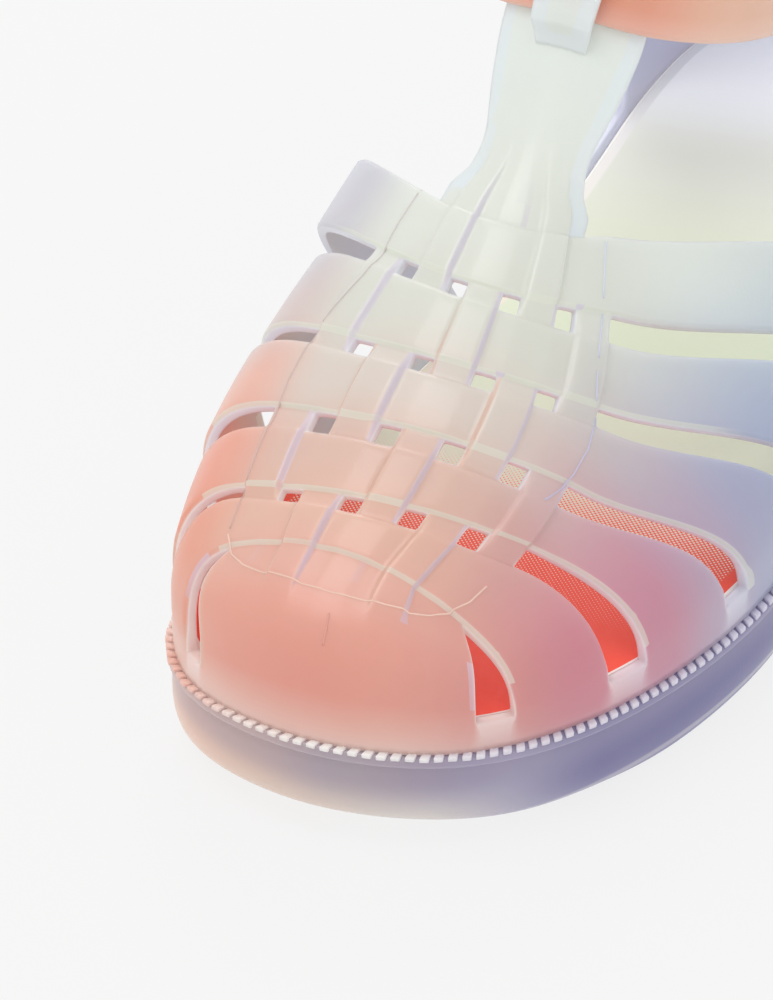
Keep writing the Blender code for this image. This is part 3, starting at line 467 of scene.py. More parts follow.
@dataclass(frozen=True)
class LipTones:
    """How the painted highlights of the upper's lips and the painted light and shade of its steps fade: by
    shares of the foot's length, on the rand by metres across.
    """

    thinning: tuple[float, float] = (0.30, 0.40)
    least_power: float = 5.0
    added_power: float = 14.0
    fading: tuple[float, float] = (0.32, 0.36)
    faded: float = 0.55
    lost_on_rand: float = 0.75
    rand: tuple[float, float] = (0.042, 0.004)
    weave: tuple[float, float] = (0.35, 0.31)
    cap: tuple[float, float] = (0.03, 0.06)
    painted_shade_sides: tuple[float, float] = (0.27, 0.20)


@dataclass(frozen=True)
class Jelly:
    """Frosted see-through plastic: light scattered inside it with a painted glow added by emission, a satin
    skin, and cut edges painted paler as highlights.
    """

    groups: Groups
    smoothness: float = 0.42
    glow: float = 0.55
    glow_depth: float = 0.0030
    painted_glow: float = 0.11
    painted_lip_glow: float = 0.26
    step_light_and_shade: float = 0.58
    lip_highlight: float = 0.80
    band_frost: float = 0.40
    strap_lip_highlight: float = 0.35
    grain_depth: float = 0.00008
    seam_grain: float = 0.00002
    lips: LipTones = LipTones()
    tones: SoleTones = SoleTones()

    def dress_shader(
        self,
        tree: Tree,
        shader: bpy.types.Node,
        colour: bpy.types.NodeSocket,
        light: bpy.types.NodeSocket | None = None,
        clearness: float = 0.22,
    ) -> None:
        """Set what all the plastics share.

        Args:
            tree: the material's builder.
            shader: its Principled shader.
            colour: the output that gives its colour.
            light: the output that gives the painted glow, an emission that stands for the light inside the
                plastic, or none for its own dimmed colour.
            clearness: the share of light that passes straight through it.
        """
        if light is None:
            light = tree.dimmed(colour, self.painted_glow)
        tree.feed(shader.inputs["Base Color"], colour)
        # Painted glow: the emission makes the plastic shine as if light passed through it.
        tree.feed(shader.inputs["Emission Color"], light)
        shader.inputs["Emission Strength"].default_value = 1.0
        shader.inputs["Subsurface Weight"].default_value = self.glow
        shader.inputs["Subsurface Radius"].default_value = (1.0, 1.0, 1.0)
        shader.inputs["Subsurface Scale"].default_value = self.glow_depth
        shader.inputs["Transmission Weight"].default_value = clearness
        shader.inputs["IOR"].default_value = 1.46
        shader.inputs["Coat Weight"].default_value = 0.50
        shader.inputs["Coat Roughness"].default_value = 0.26
        self.groups.surface(tree, shader, self.smoothness, self.grain_depth)

    def upper(self) -> bpy.types.Material:
        """Return the plastic of the upper, paler and bluer at the lips of its slots and on the rand; the
        lips carry a painted highlight and glow, and the steep sides of its rows carry painted light and
        shade by the way they face.
        """
        material, tree, shader = start_material("frosted jelly upper")
        lips = self.lips
        across, along, _ = tree.parts()
        share = tree.foot_share(along)
        band = tree.attribute(Role.BAND)
        frost = tree.times(band, tree.span(across, *lips.rand), self.band_frost)
        colour = self.groups.colour(tree, frost)
        # Painted highlight: the lips of the cut edges are painted paler, standing for light caught in the
        # plastic's rims.
        power = tree.line(tree.span(share, *lips.thinning), lips.added_power, lips.least_power)
        lip = tree.times(
            tree.math("POWER", tree.attribute(Role.LIP), power),
            self.lip_highlight,
            tree.line(tree.span(share, *lips.fading), -lips.faded, 1.0),
            tree.line(band, -lips.lost_on_rand, 1.0),
        )
        # Painted light and shade: the steep sides of the rows are tinted by the way they face, pale towards
        # the front, lavender on the outer side and warm on the inner side.
        weave = tree.span(share, *lips.weave)
        painted_step_tones = (
            (Role.INNER, "D9B29E", tree.span(share, *lips.painted_shade_sides)),
            (Role.OUTER, "D2C9DE", tree.times(weave, tree.span(share, *lips.cap))),
            (Role.FRONT, "DDE1D3", weave),
        )
        for role, code, where in painted_step_tones:
            painted_step_share = tree.times(tree.attribute(role), where, self.step_light_and_shade)
            colour = tree.mix(painted_step_share, colour, linear(code))
        pale = tree.ramp(share, LIP_FADE)
        colour = tree.mix(lip, colour, pale)
        # Painted glow: the lips shine by emission more strongly than the rest.
        light = tree.mix(lip, tree.dimmed(colour, self.painted_glow), tree.dimmed(pale, self.painted_lip_glow))
        self.dress_shader(tree, shader, colour, light)
        return material

    def sole(self) -> bpy.types.Material:
        """Return the plastic of the sole, darker under the welt where shade is painted, with a painted
        highlight line near the ground and painted light on the top of its outer side, and clearer towards
        the ground.
        """
        material, tree, shader = start_material("frosted jelly sole")
        tones = self.tones
        across, along, height = tree.parts()
        share = tree.sole_share(across, along)
        front = tree.span(share, *tones.forefoot)
        # Painted highlight: a thin bright line near the foot of the sole.
        line = tree.times(tree.span(height, *tones.highlight_foot), tree.span(height, *tones.highlight_top))
        # Painted light: lighter towards the top on the outer side, away from the forefoot.
        outer = tree.times(tree.span(height, *tones.outer), tree.line(front, -1.0, 1.0))
        # Painted shade: darker under the welt, towards the forefoot.
        shade = tree.times(tree.span(height, *tones.shade), front)
        clear = tree.times(tree.span(height, *tones.clear), front)
        # Layers in order: clearer plastic near the ground, the painted highlight line, the painted shade
        # under the welt, and painted light on the top of the outer side.
        layers = (
            (tree.times(clear, tones.clear_strength), tree.ramp(share, SOLE_CLEAR)),
            (tree.times(line, tones.highlight_strength), linear("EEE8E4")),
            (tree.times(shade, tones.shade_strength), linear("9A8AA0")),
            (tree.times(outer, tones.outer_painted_light), linear("C2BACC")),
        )
        colour = tree.ramp(share, SOLE_FADE)
        for strength, tone in layers:
            colour = tree.mix(strength, colour, tone)
        self.dress_shader(tree, shader, tree.mix(tones.depth, colour, BLACK), clearness=0.0)
        return material

    def strap(self) -> bpy.types.Material:
        """Return the plastic of the ankle strap and its keeper, with a painted highlight on its cut edges.
        """
        material, tree, shader = start_material("frosted jelly strap")
        across, _, _ = tree.parts()
        aside = tree.math("ABSOLUTE", tree.math("SUBTRACT", across, STRAP_MIDDLE))
        colour = tree.ramp(tree.times(aside, STRAP_STEEPNESS), STRAP_FADE)
        # Painted highlight: the cut edges are painted paler.
        lip = tree.times(tree.attribute(Role.LIP), self.strap_lip_highlight)
        self.dress_shader(tree, shader, tree.mix(lip, colour, linear("EFD8D2")))
        return material

    def knurl(self) -> bpy.types.Material:
        """Return the paler plastic of the knurled welt."""
        material, tree, shader = start_material("frosted jelly welt")
        across, along, _ = tree.parts()
        colour = tree.ramp(tree.sole_share(across, along), WELT_FADE)
        self.dress_shader(tree, shader, colour, clearness=0.0)
        return material

    def seam(self, code: str) -> bpy.types.Material:
        """Return the plastic of a mould seam, in its own colour."""
        material, tree, shader = start_material("mould seam " + code)
        colour = tree.mix(0.50, self.groups.colour(tree, 0.0), linear(code))
        tree.feed(shader.inputs["Base Color"], colour)
        # Painted glow: the seam shines faintly by emission, as if lit from inside.
        tree.feed(shader.inputs["Emission Color"], tree.dimmed(colour, self.painted_glow))
        shader.inputs["Emission Strength"].default_value = 1.0
        self.groups.surface(tree, shader, self.smoothness, self.seam_grain)
        return material


PRINT_GROUND: Stops = (
    (0.00, "F84E39"),
    (0.24, "F6533D"),
    (0.33, "EF644D"),
    (0.38, "E2D8C6"),
    (1.00, "D8DBE0"),
)
PRINT_DOTS: Stops = (
    (0.10, "F3D2C4"),
    (0.28, "EFDDCF"),
    (0.38, "DBDDC8"),
    (0.50, "D3DBC2"),
    (0.62, "D2D6C3"),
    (0.75, "D1D3CA"),
    (0.86, "ECEEF0"),
    (1.00, "EAEDF2"),
)


@dataclass(frozen=True)
class PrintedFoam:
    """The footbed: a print of fine dots that grow into the next colour, a white edge, and a faint painted
    glow.
    """

    pitch: float = 0.00066
    turn: float = 45.0
    skew: float = 0.8
    first_dot: float = 0.178
    last_dot: float = 0.380
    least_dot: float = 0.10
    growth: float = 0.64
    growth_power: float = 1.6
    softness: float = 0.05
    fade_in: tuple[float, float] = (0.168, 0.198)
    plain_border: tuple[float, float] = (0.45, 0.35)
    white_edge: tuple[float, float] = (0.90, 0.96)
    painted_light_strength: float = 0.17
    weave_fineness: float = 900.0
    weave_depth: float = 0.0001
    least_roughness: float = 0.45
    added_roughness: float = 0.2

    def dots(self, tree: Tree, share: bpy.types.NodeSocket) -> bpy.types.NodeSocket:
        """Return the mask of the printed dots.

        Args:
            tree: the material's builder.
            share: how far back the place lies in the print.

        Returns:
            The mask.
        """
        flat = tree.add("ShaderNodeVectorMath", operation="MULTIPLY")
        tree.feed(flat.inputs[0], tree.place())
        flat.inputs[1].default_value = (1.0, 1.0, 0.0)
        turned = tree.add("ShaderNodeMapping")
        turned.inputs["Rotation"].default_value = (0.0, 0.0, math.radians(self.turn))
        tree.feed(turned.inputs["Vector"], flat.outputs[0])
        cells = tree.add("ShaderNodeTexVoronoi", voronoi_dimensions="2D")
        tree.feed(cells.inputs["Vector"], turned.outputs[0])
        cells.inputs["Scale"].default_value = 1.0 / self.pitch
        cells.inputs["Randomness"].default_value = 0.0
        grown = tree.add("ShaderNodeMapRange", clamp=True)
        tree.feed(grown.inputs["Value"], share)
        grown.inputs["From Min"].default_value = self.first_dot
        grown.inputs["From Max"].default_value = self.last_dot
        swelling = tree.math("POWER", grown.outputs[0], self.growth_power)
        radius = tree.line(swelling, self.growth, self.least_dot)
        inside = tree.math("SUBTRACT", radius, cells.outputs["Distance"])
        return tree.times(
            tree.span(inside, -self.softness, self.softness),
            tree.span(share, *self.fade_in),
            tree.span(tree.attribute(Role.BORDER), *self.plain_border),
        )

    def material(self) -> bpy.types.Material:
        """Return the footbed's material, with a faint painted glow by emission."""
        material, tree, shader = start_material("printed footbed")
        across, along, _ = tree.parts()
        share = tree.math("SUBTRACT", tree.foot_share(along), tree.times(across, self.skew))
        ground = tree.ramp(share, PRINT_GROUND)
        colour = tree.mix(self.dots(tree, share), ground, tree.ramp(share, PRINT_DOTS))
        edge = tree.span(tree.attribute(Role.BORDER), *self.white_edge)
        colour = tree.mix(edge, colour, linear("F4F1EC"))
        tree.feed(shader.inputs["Base Color"], colour)
        # Painted glow: the footbed shines faintly by emission, standing for light that passes in through the
        # plastic upper.
        tree.feed(shader.inputs["Emission Color"], colour)
        shader.inputs["Emission Strength"].default_value = self.painted_light_strength
        weave = tree.noise(self.weave_fineness)
        bump = tree.add("ShaderNodeBump")
        bump.inputs["Strength"].default_value = 0.3
        bump.inputs["Distance"].default_value = self.weave_depth
        tree.feed(bump.inputs["Height"], weave)
        tree.feed(shader.inputs["Normal"], bump.outputs[0])
        roughness = tree.line(weave, self.added_roughness, self.least_roughness)
        tree.feed(shader.inputs["Roughness"], roughness)
        return material


@dataclass(frozen=True)
class Steel:
    """The plated metal of the buckle and the rivet."""

    code: str = "D9D9DC"
    worn_code: str = "C3C4C9"
    wear_fineness: float = 700.0
    wear_detail: float = 4.0
    least_roughness: float = 0.14
    added_roughness: float = 0.18

    def material(self) -> bpy.types.Material:
        """Return the metal."""
        material, tree, shader = start_material("plated buckle steel")
        wear = tree.noise(self.wear_fineness, self.wear_detail)
        tree.feed(shader.inputs["Base Color"], tree.mix(wear, linear(self.code), linear(self.worn_code)))
        shader.inputs["Metallic"].default_value = 1.0
        roughness = tree.line(wear, self.added_roughness, self.least_roughness)
        tree.feed(shader.inputs["Roughness"], roughness)
        return material


JOIN_FLATNESS = math.radians(38.0)
JOIN_SQUARENESS = math.radians(75.0)


def cad_copy(node: str) -> bmesh.types.BMesh:
    """Copy a CAD node's mesh, joined at its corners and brought back to four-sided faces.

    Args:
        node: the node's name.

    Returns:
        The mesh.
    """
    mesh = bmesh.new()
    mesh.from_mesh(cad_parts[node].data)
    bmesh.ops.remove_doubles(mesh, verts=mesh.verts, dist=MERGE_DISTANCE)
    bmesh.ops.dissolve_degenerate(mesh, edges=mesh.edges, dist=MERGE_DISTANCE)
    bmesh.ops.join_triangles(
        mesh,
        faces=mesh.faces,
        angle_face_threshold=JOIN_FLATNESS,
        angle_shape_threshold=JOIN_SQUARENESS,
    )
    mesh.normal_update()
    return mesh


def crease_sharp(mesh: bmesh.types.BMesh, angle: float, crease: float) -> None:
    """Hold the sharp edges of a mesh while it is subdivided.

    Args:
        mesh: the mesh.
        angle: the angle in degrees from which an edge is sharp.
        crease: how firmly it is held, from 0 to 1.
    """
    layer = mesh.edges.layers.float.get("crease_edge") or mesh.edges.layers.float.new("crease_edge")
    for edge in mesh.edges:
        if len(edge.link_faces) == 2 and edge.calc_face_angle() > math.radians(angle):
            edge[layer] = crease


LIP_REACH = 2.6
LIP_SQUARENESS = 0.93
LEAN_MATCH = 0.75


def mark_lips(mesh: bmesh.types.BMesh, wall: float) -> None:
    """Mark the corners of a wall's cut edges, for the material.

    Args:
        mesh: the mesh.
        wall: the least thickness of the wall, across which a cut edge runs.
    """
    layer = mesh.verts.layers.float.new(Role.LIP.value)
    for edge in mesh.edges:
        run = edge.verts[1].co - edge.verts[0].co
        if not wall < run.length < wall * LIP_REACH:
            continue
        run.normalize()
        sheets = {face for vert in edge.verts for face in vert.link_faces} - set(edge.link_faces)
        if any(abs(run.dot(face.normal)) > LIP_SQUARENESS for face in sheets):
            edge.verts[0][layer] = 1.0
            edge.verts[1][layer] = 1.0


def mark_steps(mesh: bmesh.types.BMesh, bend: float, width: float, leans: dict[Role, Vector]) -> None:
    """Mark the steep sides of raised rows and strips for the material, by the way in which they lean.

    Args:
        mesh: the mesh.
        bend: the least angle in degrees at one long edge of a side.
        width: the greatest width of a side.
        leans: the attribute to write for sides that lean each way.
    """
    layers = {role: mesh.faces.layers.float.new(role.value) for role in leans}
    least = math.radians(bend)
    for face in mesh.faces:
        if len(face.loops) != 4:
            continue
        edges = [loop.edge for loop in face.loops]
        for pair in ((edges[0], edges[2]), (edges[1], edges[3])):
            bends = [edge.calc_face_angle_signed(0.0) for edge in pair]
            sides = max(edge.calc_length() for edge in edges if edge not in pair)
            if sides > width or max(bends) < least:
                continue
            around = [other.normal for edge in pair for other in edge.link_faces if other is not face]
            lean = face.normal - max(around, key=lambda normal: normal.z)
            for role, ahead in leans.items():
                if lean.normalized().dot(ahead) > LEAN_MATCH:
                    face[layers[role]] = min(1.0, max(bends) / least - 1.0)


def settle(mesh: bmesh.types.BMesh, name: str, material: bpy.types.Material) -> bpy.types.Object:
    """Turn a mesh into a shown, smooth object with a material.

    Args:
        mesh: the mesh, which is freed.
        name: the object's name.
        material: its material.

    Returns:
        The object.
    """
    held = bpy.data.meshes.new(name)
    mesh.to_mesh(held)
    mesh.free()
    held.shade_smooth()
    piece = bpy.data.objects.new(name, held)
    bpy.context.scene.collection.objects.link(piece)
    held.materials.append(material)
    return piece


def subdivide(piece: bpy.types.Object, levels: int) -> None:
    """Add a Subdivision Surface modifier."""
    modifier = piece.modifiers.new("smooth", "SUBSURF")
    modifier.levels = levels
    modifier.render_levels = levels


def hand_over(piece: bpy.types.Object, slot: str, *nodes: str) -> None:
    """Tell the frame what a piece rides on and what it replaces.

    Args:
        piece: the piece.
        slot: not used.
        nodes: the CAD nodes that it stands for.
    """
    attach(piece, "root")
    if nodes:
        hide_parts(*nodes)
    LOG.info("%s: %d faces before its modifiers", piece.name, len(piece.data.polygons))


LEVEL = 0.9
UPRIGHT = 0.35


def outer_ring(mesh: bmesh.types.BMesh) -> list[Vector]:
    """Return the points of the sole's upper outer edge, in order round it.

    Args:
        mesh: the sole's mesh.

    Returns:
        The points.
    """
    rim = set()
    for edge in mesh.edges:
        if len(edge.link_faces) != 2:
            continue
        slopes = sorted(face.normal.z for face in edge.link_faces)
        if slopes[1] > LEVEL and abs(slopes[0]) < UPRIGHT:
            rim.add(edge)
    start = next(iter(sorted(rim, key=lambda edge: edge.verts[0].co.y)))
    ring = [start.verts[0]]
    vert = start.verts[1]
    rim.discard(start)
    while vert is not ring[0]:
        ring.append(vert)
        step = next(edge for edge in vert.link_edges if edge in rim)
        rim.discard(step)
        vert = step.other_vert(vert)
    return [point.co.copy() for point in ring]


def even_points(ring: list[Vector], pitch: float) -> list[Vector]:
    """Return points at an even pitch round a closed ring.

    Args:
        ring: the ring's points.
        pitch: the wanted distance between points.

    Returns:
        The new points.
    """
    spans = [(end - start).length for start, end in zip(ring, ring[1:] + ring[:1])]
    count = round(sum(spans) / pitch)
    step = sum(spans) / count
    points = []
    walked = 0.0
    index = 0
    for number in range(count):
        target = number * step
        while walked + spans[index] < target:
            walked += spans[index]
            index += 1
        share = (target - walked) / spans[index]
        points.append(ring[index].lerp(ring[(index + 1) % len(ring)], share))
    return points


@dataclass
class Sole:
    """The sole and its knurled welt."""

    finish: Jelly
    tooth_pitch: float = 0.00250
    tooth_length: float = 0.00165
    tooth_depth: float = 0.0017
    tooth_height: float = 0.0010
    tooth_round: float = 0.00018
    tooth_inset: float = 0.42
    tooth_sink: float = 0.18
    tooth_slant: float = 0.40
    hold_angle: float = 30.0
    hold: float = 0.45
    ring: list[Vector] = field(default_factory=list)

    def body(self) -> bpy.types.Object:
        """Build the sole's body from the CAD solid.

        Returns:
            The piece.
        """
        mesh = cad_copy("outsole")
        self.ring = outer_ring(mesh)
        crease_sharp(mesh, self.hold_angle, self.hold)
        piece = settle(mesh, "sole_body", self.finish.sole())
        subdivide(piece, 2)
        hand_over(piece, "outsole", "outsole")
        return piece

    def welt(self) -> bpy.types.Object:
        """Build the row of small blocks that runs round the sole's upper edge.

        Returns:
            The piece.
        """
        mesh = bmesh.new()
        points = even_points(self.ring, self.tooth_pitch)
        middle = sum(points, Vector()) / len(points)
        for index, point in enumerate(points):
            run = (points[(index + 1) % len(points)] - points[index - 1]).normalized()
            outward = run.cross(UP).normalized()
            if outward.dot(point - middle) < 0.0:
                outward = -outward
            block = bmesh.ops.create_cube(mesh, size=1.0)["verts"]
            size = (self.tooth_length, self.tooth_depth, self.tooth_height)
            bmesh.ops.scale(mesh, vec=size, verts=block)
            edges = list({edge for vert in block for edge in vert.link_edges})
            bevelled = bmesh.ops.bevel(
                mesh,
                geom=edges,
                offset=self.tooth_round,
                segments=1,
                profile=0.5,
                affect="EDGES",
                material=-1,
            )
            inset = outward * (self.tooth_depth * self.tooth_inset)
            centre = point - inset - UP * (self.tooth_height * self.tooth_sink)
            for corner in bevelled["verts"]:
                ahead, out, up = corner.co
                corner.co = centre + run * (ahead + out * self.tooth_slant) + outward * out + UP * up
        bmesh.ops.recalc_face_normals(mesh, faces=mesh.faces)
        piece = settle(mesh, "welt_knurl", self.finish.knurl())
        hand_over(piece, "outsole")
        return piece

    def build(self) -> None:
        """Build the sole's pieces."""
        self.body()
        self.welt()


@dataclass
class Footbed:
    """The printed footbed."""

    finish: PrintedFoam
    edge_width: float = 0.0007
    plain_width: float = 0.0035
    plain_value: float = 0.6
    top_slope: float = 0.85
    top_height: float = 0.021
    hold_angle: float = 30.0
    hold: float = 0.6

    def build(self) -> bpy.types.Object:
        """Build the footbed, with its white edge and its plain border marked.

        Returns:
            The piece.
        """
        mesh = cad_copy("insole")
        layer = mesh.verts.layers.float.new(Role.BORDER.value)
        for vert in mesh.verts:
            vert[layer] = 1.0
        top = [
            face
            for face in mesh.faces
            if face.normal.z > self.top_slope and face.calc_center_median().z > self.top_height
        ]
        for width, value in ((self.edge_width, self.plain_value), (self.plain_width, 0.0)):
            bmesh.ops.inset_region(mesh, faces=top, thickness=width, use_even_offset=True, use_boundary=True)
            for vert in {vert for face in top for vert in face.verts}:
                vert[layer] = value
        crease_sharp(mesh, self.hold_angle, self.hold)
        piece = settle(mesh, "footbed", self.finish.material())
        subdivide(piece, 1)
        hand_over(piece, "insole", "insole")
        return piece


@dataclass
class Line:
    """A mould seam that runs over the upper, by its points in plan, in millimetres."""

    name: str
    colour: str
    points: tuple[tuple[float, float], ...]


SEAMS = (
    Line(
        "seam_toe",
        "EBD3C2",
        (
            (-28.3, -108.0),
            (-25.8, -111.5),
            (-22.5, -113.6),
            (-17.7, -115.0),
            (-10.3, -116.0),
            (-4.4, -116.2),
            (0.7, -115.4),
            (5.2, -114.5),
            (9.1, -113.2),
            (12.2, -111.4),
            (14.8, -109.0),
            (16.8, -105.3),
            (18.1, -100.0),
        ),
    ),
    Line("seam_cap", "C9897C", ((-3.1, -119.2), (-2.6, -121.4), (-2.4, -123.3))),
    Line(
        "seam_outer",
        "B9BFEA",
        (
            (10.9, -37.5),
            (14.8, -46.9),
            (19.4, -59.1),
            (22.0, -65.5),
            (22.8, -70.2),
            (22.4, -75.2),
            (19.8, -84.0),
        ),
    ),
    Line(
        "seam_inner",
        "A58C90",
        (
            (-23.8, -40.5),
            (-24.8, -48.5),
            (-24.8, -55.0),
            (-26.2, -59.5),
            (-28.4, -64.2),
            (-30.2, -68.5),
            (-31.0, -73.5),
            (-31.2, -79.0),
            (-30.4, -86.6),
            (-30.3, -91.5),
            (-29.8, -96.5),
            (-29.0, -102.0),
            (-28.3, -108.0),
        ),
    ),
)


STEP_LEANS = {
    Role.FRONT: Vector((-0.10, -0.88, -0.46)),
    Role.OUTER: Vector((0.90, 0.05, -0.43)),
    Role.INNER: Vector((-0.90, 0.10, -0.42)),
}


@dataclass
class Upper:
    """The moulded upper with its fine mould seams."""

    finish: Jelly
    thin_wall: float = 0.00155
    hold_angle: float = 22.0
    hold: float = 0.62
    step_bend: float = 14.0
    step_width: float = 0.0021
    seam_radius: float = 0.00021
    seam_sink: float = 0.35
    seam_jump: float = 0.0012
    seam_steps: int = 6
    least_seam: int = 3
    search_height: float = 0.2
    band_height: float = 0.0030
    band_fade: float = 0.0056

    def shell(self, ring: list[Vector]) -> bpy.types.Object:
        """Build the upper's shell from the CAD solid.

        Args:
            ring: the sole's upper outer edge, above which the rand stands.

        Returns:
            The piece.
        """
        mesh = cad_copy("upper")
        mark_lips(mesh, self.thin_wall)
        mark_steps(mesh, self.step_bend, self.step_width, STEP_LEANS)
        layer = mesh.verts.layers.float.new(Role.BAND.value)
        levels = sorted((point.y, point.z) for point in ring)
        for vert in mesh.verts:
            near = min(levels, key=lambda level: abs(level[0] - vert.co.y))
            share = (vert.co.z - near[1] - self.band_height) / self.band_fade
            vert[layer] = 1.0 - ease(share)
        crease_sharp(mesh, self.hold_angle, self.hold)
        piece = settle(mesh, "upper_shell", self.finish.upper())
        subdivide(piece, 2)
        hand_over(piece, "upper", "upper")
        return piece

    def seam(self, line: Line, surface: BVHTree) -> bpy.types.Object:
        """Lay a fine raised seam on the upper.

        Args:
            line: the seam's points in millimetres.
            surface: the upper's surface.

        Returns:
            The piece.
        """
        runs = [[]]
        for start, end in zip(line.points, line.points[1:]):
            for step in range(self.seam_steps):
                share = step / self.seam_steps
                across = (start[0] + (end[0] - start[0]) * share) / MILLIMETRES
                along = (start[1] + (end[1] - start[1]) * share) / MILLIMETRES
                spot, slope, _, _ = surface.ray_cast(Vector((across, along, self.search_height)), -UP)
                if spot is None or (runs[-1] and abs(spot.z - runs[-1][-1].z) > self.seam_jump):
                    runs.append([])
                if spot is not None:
                    runs[-1].append(spot - slope * self.seam_radius * self.seam_sink)
        mesh = bmesh.new()
        for path in runs:
            if len(path) > self.least_seam:
                self.bead(mesh, path)
        bmesh.ops.recalc_face_normals(mesh, faces=mesh.faces)
        piece = settle(mesh, line.name, self.finish.seam(line.colour))
        hand_over(piece, "upper")
        return piece

    def bead(self, mesh: bmesh.types.BMesh, path: list[Vector]) -> None:
        """Add a fine round bead along a path.

        Args:
            mesh: the mesh that takes it.
            path: its points.
        """
        ring = bmesh.ops.create_circle(mesh, segments=6, radius=self.seam_radius, cap_ends=True)["verts"]
        run = (path[1] - path[0]).normalized()
        for vert in ring:
            vert.co = path[0] + run.to_track_quat("Z", "Y") @ vert.co
        face = ring[0].link_faces[0]
        for index, point in enumerate(path[1:], 1):
            grown = bmesh.ops.extrude_face_region(mesh, geom=[face])
            verts = [item for item in grown["geom"] if isinstance(item, bmesh.types.BMVert)]
            face = next(item for item in grown["geom"] if isinstance(item, bmesh.types.BMFace))
            bmesh.ops.translate(mesh, verts=verts, vec=point - path[index - 1])
            ahead = (path[min(index + 1, len(path) - 1)] - path[index - 1]).normalized()
            turn = run.rotation_difference(ahead).to_matrix()
            bmesh.ops.rotate(mesh, cent=point, matrix=turn, verts=verts)
            run = ahead

    def build(self, ring: list[Vector]) -> None:
        """Build the upper's pieces."""
        shell = self.shell(ring)
        bpy.context.view_layer.update()
        surface = BVHTree.FromObject(shell, bpy.context.evaluated_depsgraph_get())
        for line in SEAMS:
            self.seam(line, surface)


@dataclass
class AnkleStrap:
    """The ankle strap with its keeper, rivet and buckle."""

    finish: Jelly
    metal: Steel
    thin_wall: float = 0.0013
    plastic_angle: float = 45.0
    plastic_hold: float = 0.55
    metal_angle: float = 60.0
    metal_hold: float = 0.7

    def build(self) -> None:
        """Build each piece from its CAD solid."""
        plastic = self.finish.strap()
        for node, name in (("ankle_strap", "strap_band"), ("strap_keeper", "strap_loop")):
            mesh = cad_copy(node)
            mark_lips(mesh, self.thin_wall)
            crease_sharp(mesh, self.plastic_angle, self.plastic_hold)
            piece = settle(mesh, name, plastic)
            subdivide(piece, 2)
            hand_over(piece, node, node)
        metal = self.metal.material()
        parts = {"buckle_frame": "buckle_bow", "buckle_prong": "buckle_pin", "strap_rivet": "rivet"}
        for node, name in parts.items():
            mesh = cad_copy(node)
            crease_sharp(mesh, self.metal_angle, self.metal_hold)
            piece = settle(mesh, name, metal)
            subdivide(piece, 2)
            hand_over(piece, node, node)


@dataclass(frozen=True)
class Lamp:
    """A soft square light: where it hangs, its side in metres and its power in watts."""

    name: str
    place: Vector
    size: float
    power: float


LAMPS = (
    Lamp("key_light", Vector((-0.36, -0.36, 1.33)), 0.75, 5.0),
    Lamp("rim_light", Vector((-0.5, 1.0, 0.95)), 0.6, 4.0),
    Lamp("fill_light", Vector((1.2, -1.0, 1.2)), 1.6, 1.5),
)


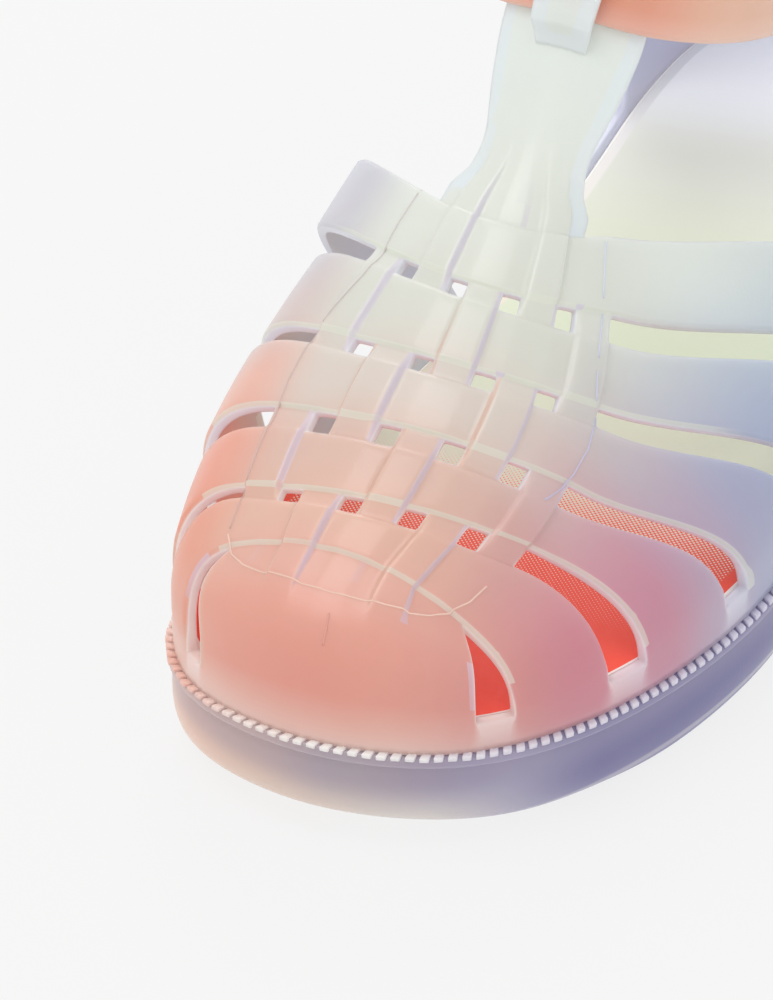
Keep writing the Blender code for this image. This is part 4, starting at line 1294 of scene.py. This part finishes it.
@dataclass(frozen=True)
class Studio:
    """The pale floor, the soft light and the camera."""

    target: Vector = Vector((0.0012, -0.1025, 0.018))
    azimuth: float = 26.0
    elevation: float = 37.5
    distance: float = 1.0
    focal_pixels: float = 5720.0
    target_pixel: tuple[float, float] = (395.0, 688.0)
    lit_spot: Vector = Vector((0.0, -0.05, 0.03))
    floor_half: float = 6.0
    floor_code: str = "5A5A5A"
    floor_glow: str = "E8E8E8"
    sky_strength: float = 0.78

    def camera(self) -> None:
        """Place the camera at the photo's angle, aimed so that it needs no shift."""
        turn, tilt = math.radians(self.azimuth), math.radians(self.elevation)
        back = Vector((math.sin(turn) * math.cos(tilt), -math.cos(turn) * math.cos(tilt), math.sin(tilt)))
        right = UP.cross(back).normalized()
        up = back.cross(right)
        spot = self.target + back * self.distance
        aside = (self.target_pixel[0] - PICTURE_WIDTH / 2.0) / self.focal_pixels * self.distance
        below = (self.target_pixel[1] - PICTURE_HEIGHT / 2.0) / self.focal_pixels * self.distance
        aim = self.target - right * aside + up * below
        lens = bpy.data.cameras.new("camera")
        lens.sensor_fit = "VERTICAL"
        lens.sensor_height = SENSOR
        lens.lens = self.focal_pixels * SENSOR / PICTURE_HEIGHT
        lens.clip_start = 0.01
        lens.clip_end = 20.0
        viewer = bpy.data.objects.new("camera", lens)
        bpy.context.scene.collection.objects.link(viewer)
        viewer.location = spot
        viewer.rotation_euler = (aim - spot).to_track_quat("-Z", "Y").to_euler()
        bpy.context.scene.camera = viewer

    def floor(self) -> None:
        """Lay the pale floor."""
        mesh = bmesh.new()
        bmesh.ops.create_grid(mesh, x_segments=2, y_segments=2, size=self.floor_half)
        material, _, shader = start_material("pale floor")
        shader.inputs["Base Color"].default_value = linear(self.floor_code)
        shader.inputs["Emission Color"].default_value = linear(self.floor_glow)
        shader.inputs["Emission Strength"].default_value = 1.0
        shader.inputs["Roughness"].default_value = 0.9
        shader.inputs["Specular IOR Level"].default_value = 0.1
        floor = settle(mesh, "floor", material)

    def light(self, lamp: Lamp) -> None:
        """Hang a light that points at the sandal."""
        source = bpy.data.lights.new(lamp.name, "AREA")
        source.shape = "SQUARE"
        source.size = lamp.size
        source.energy = lamp.power
        holder = bpy.data.objects.new(lamp.name, source)
        bpy.context.scene.collection.objects.link(holder)
        holder.location = lamp.place
        holder.rotation_euler = (self.lit_spot - lamp.place).to_track_quat("-Z", "Y").to_euler()

    def build(self) -> None:
        """Build the stage."""
        self.floor()
        self.camera()
        for lamp in LAMPS:
            self.light(lamp)
        world = bpy.data.worlds.new("studio")
        bpy.context.scene.world = world
        world.use_nodes = True
        sky = world.node_tree.nodes["Background"]
        sky.inputs[0].default_value = (1.0, 1.0, 1.0, 1.0)
        sky.inputs[1].default_value = self.sky_strength
        bpy.context.scene.view_settings.view_transform = "Standard"


def main() -> None:
    """Build the sandal's looks in order."""
    groups = Groups()
    jelly = Jelly(groups)
    sole = Sole(jelly)
    sole.build()
    Footbed(PrintedFoam()).build()
    Upper(jelly).build(sole.ring)
    AnkleStrap(jelly, Steel()).build()
    Studio().build()


if __name__ == "__main__":
    main()
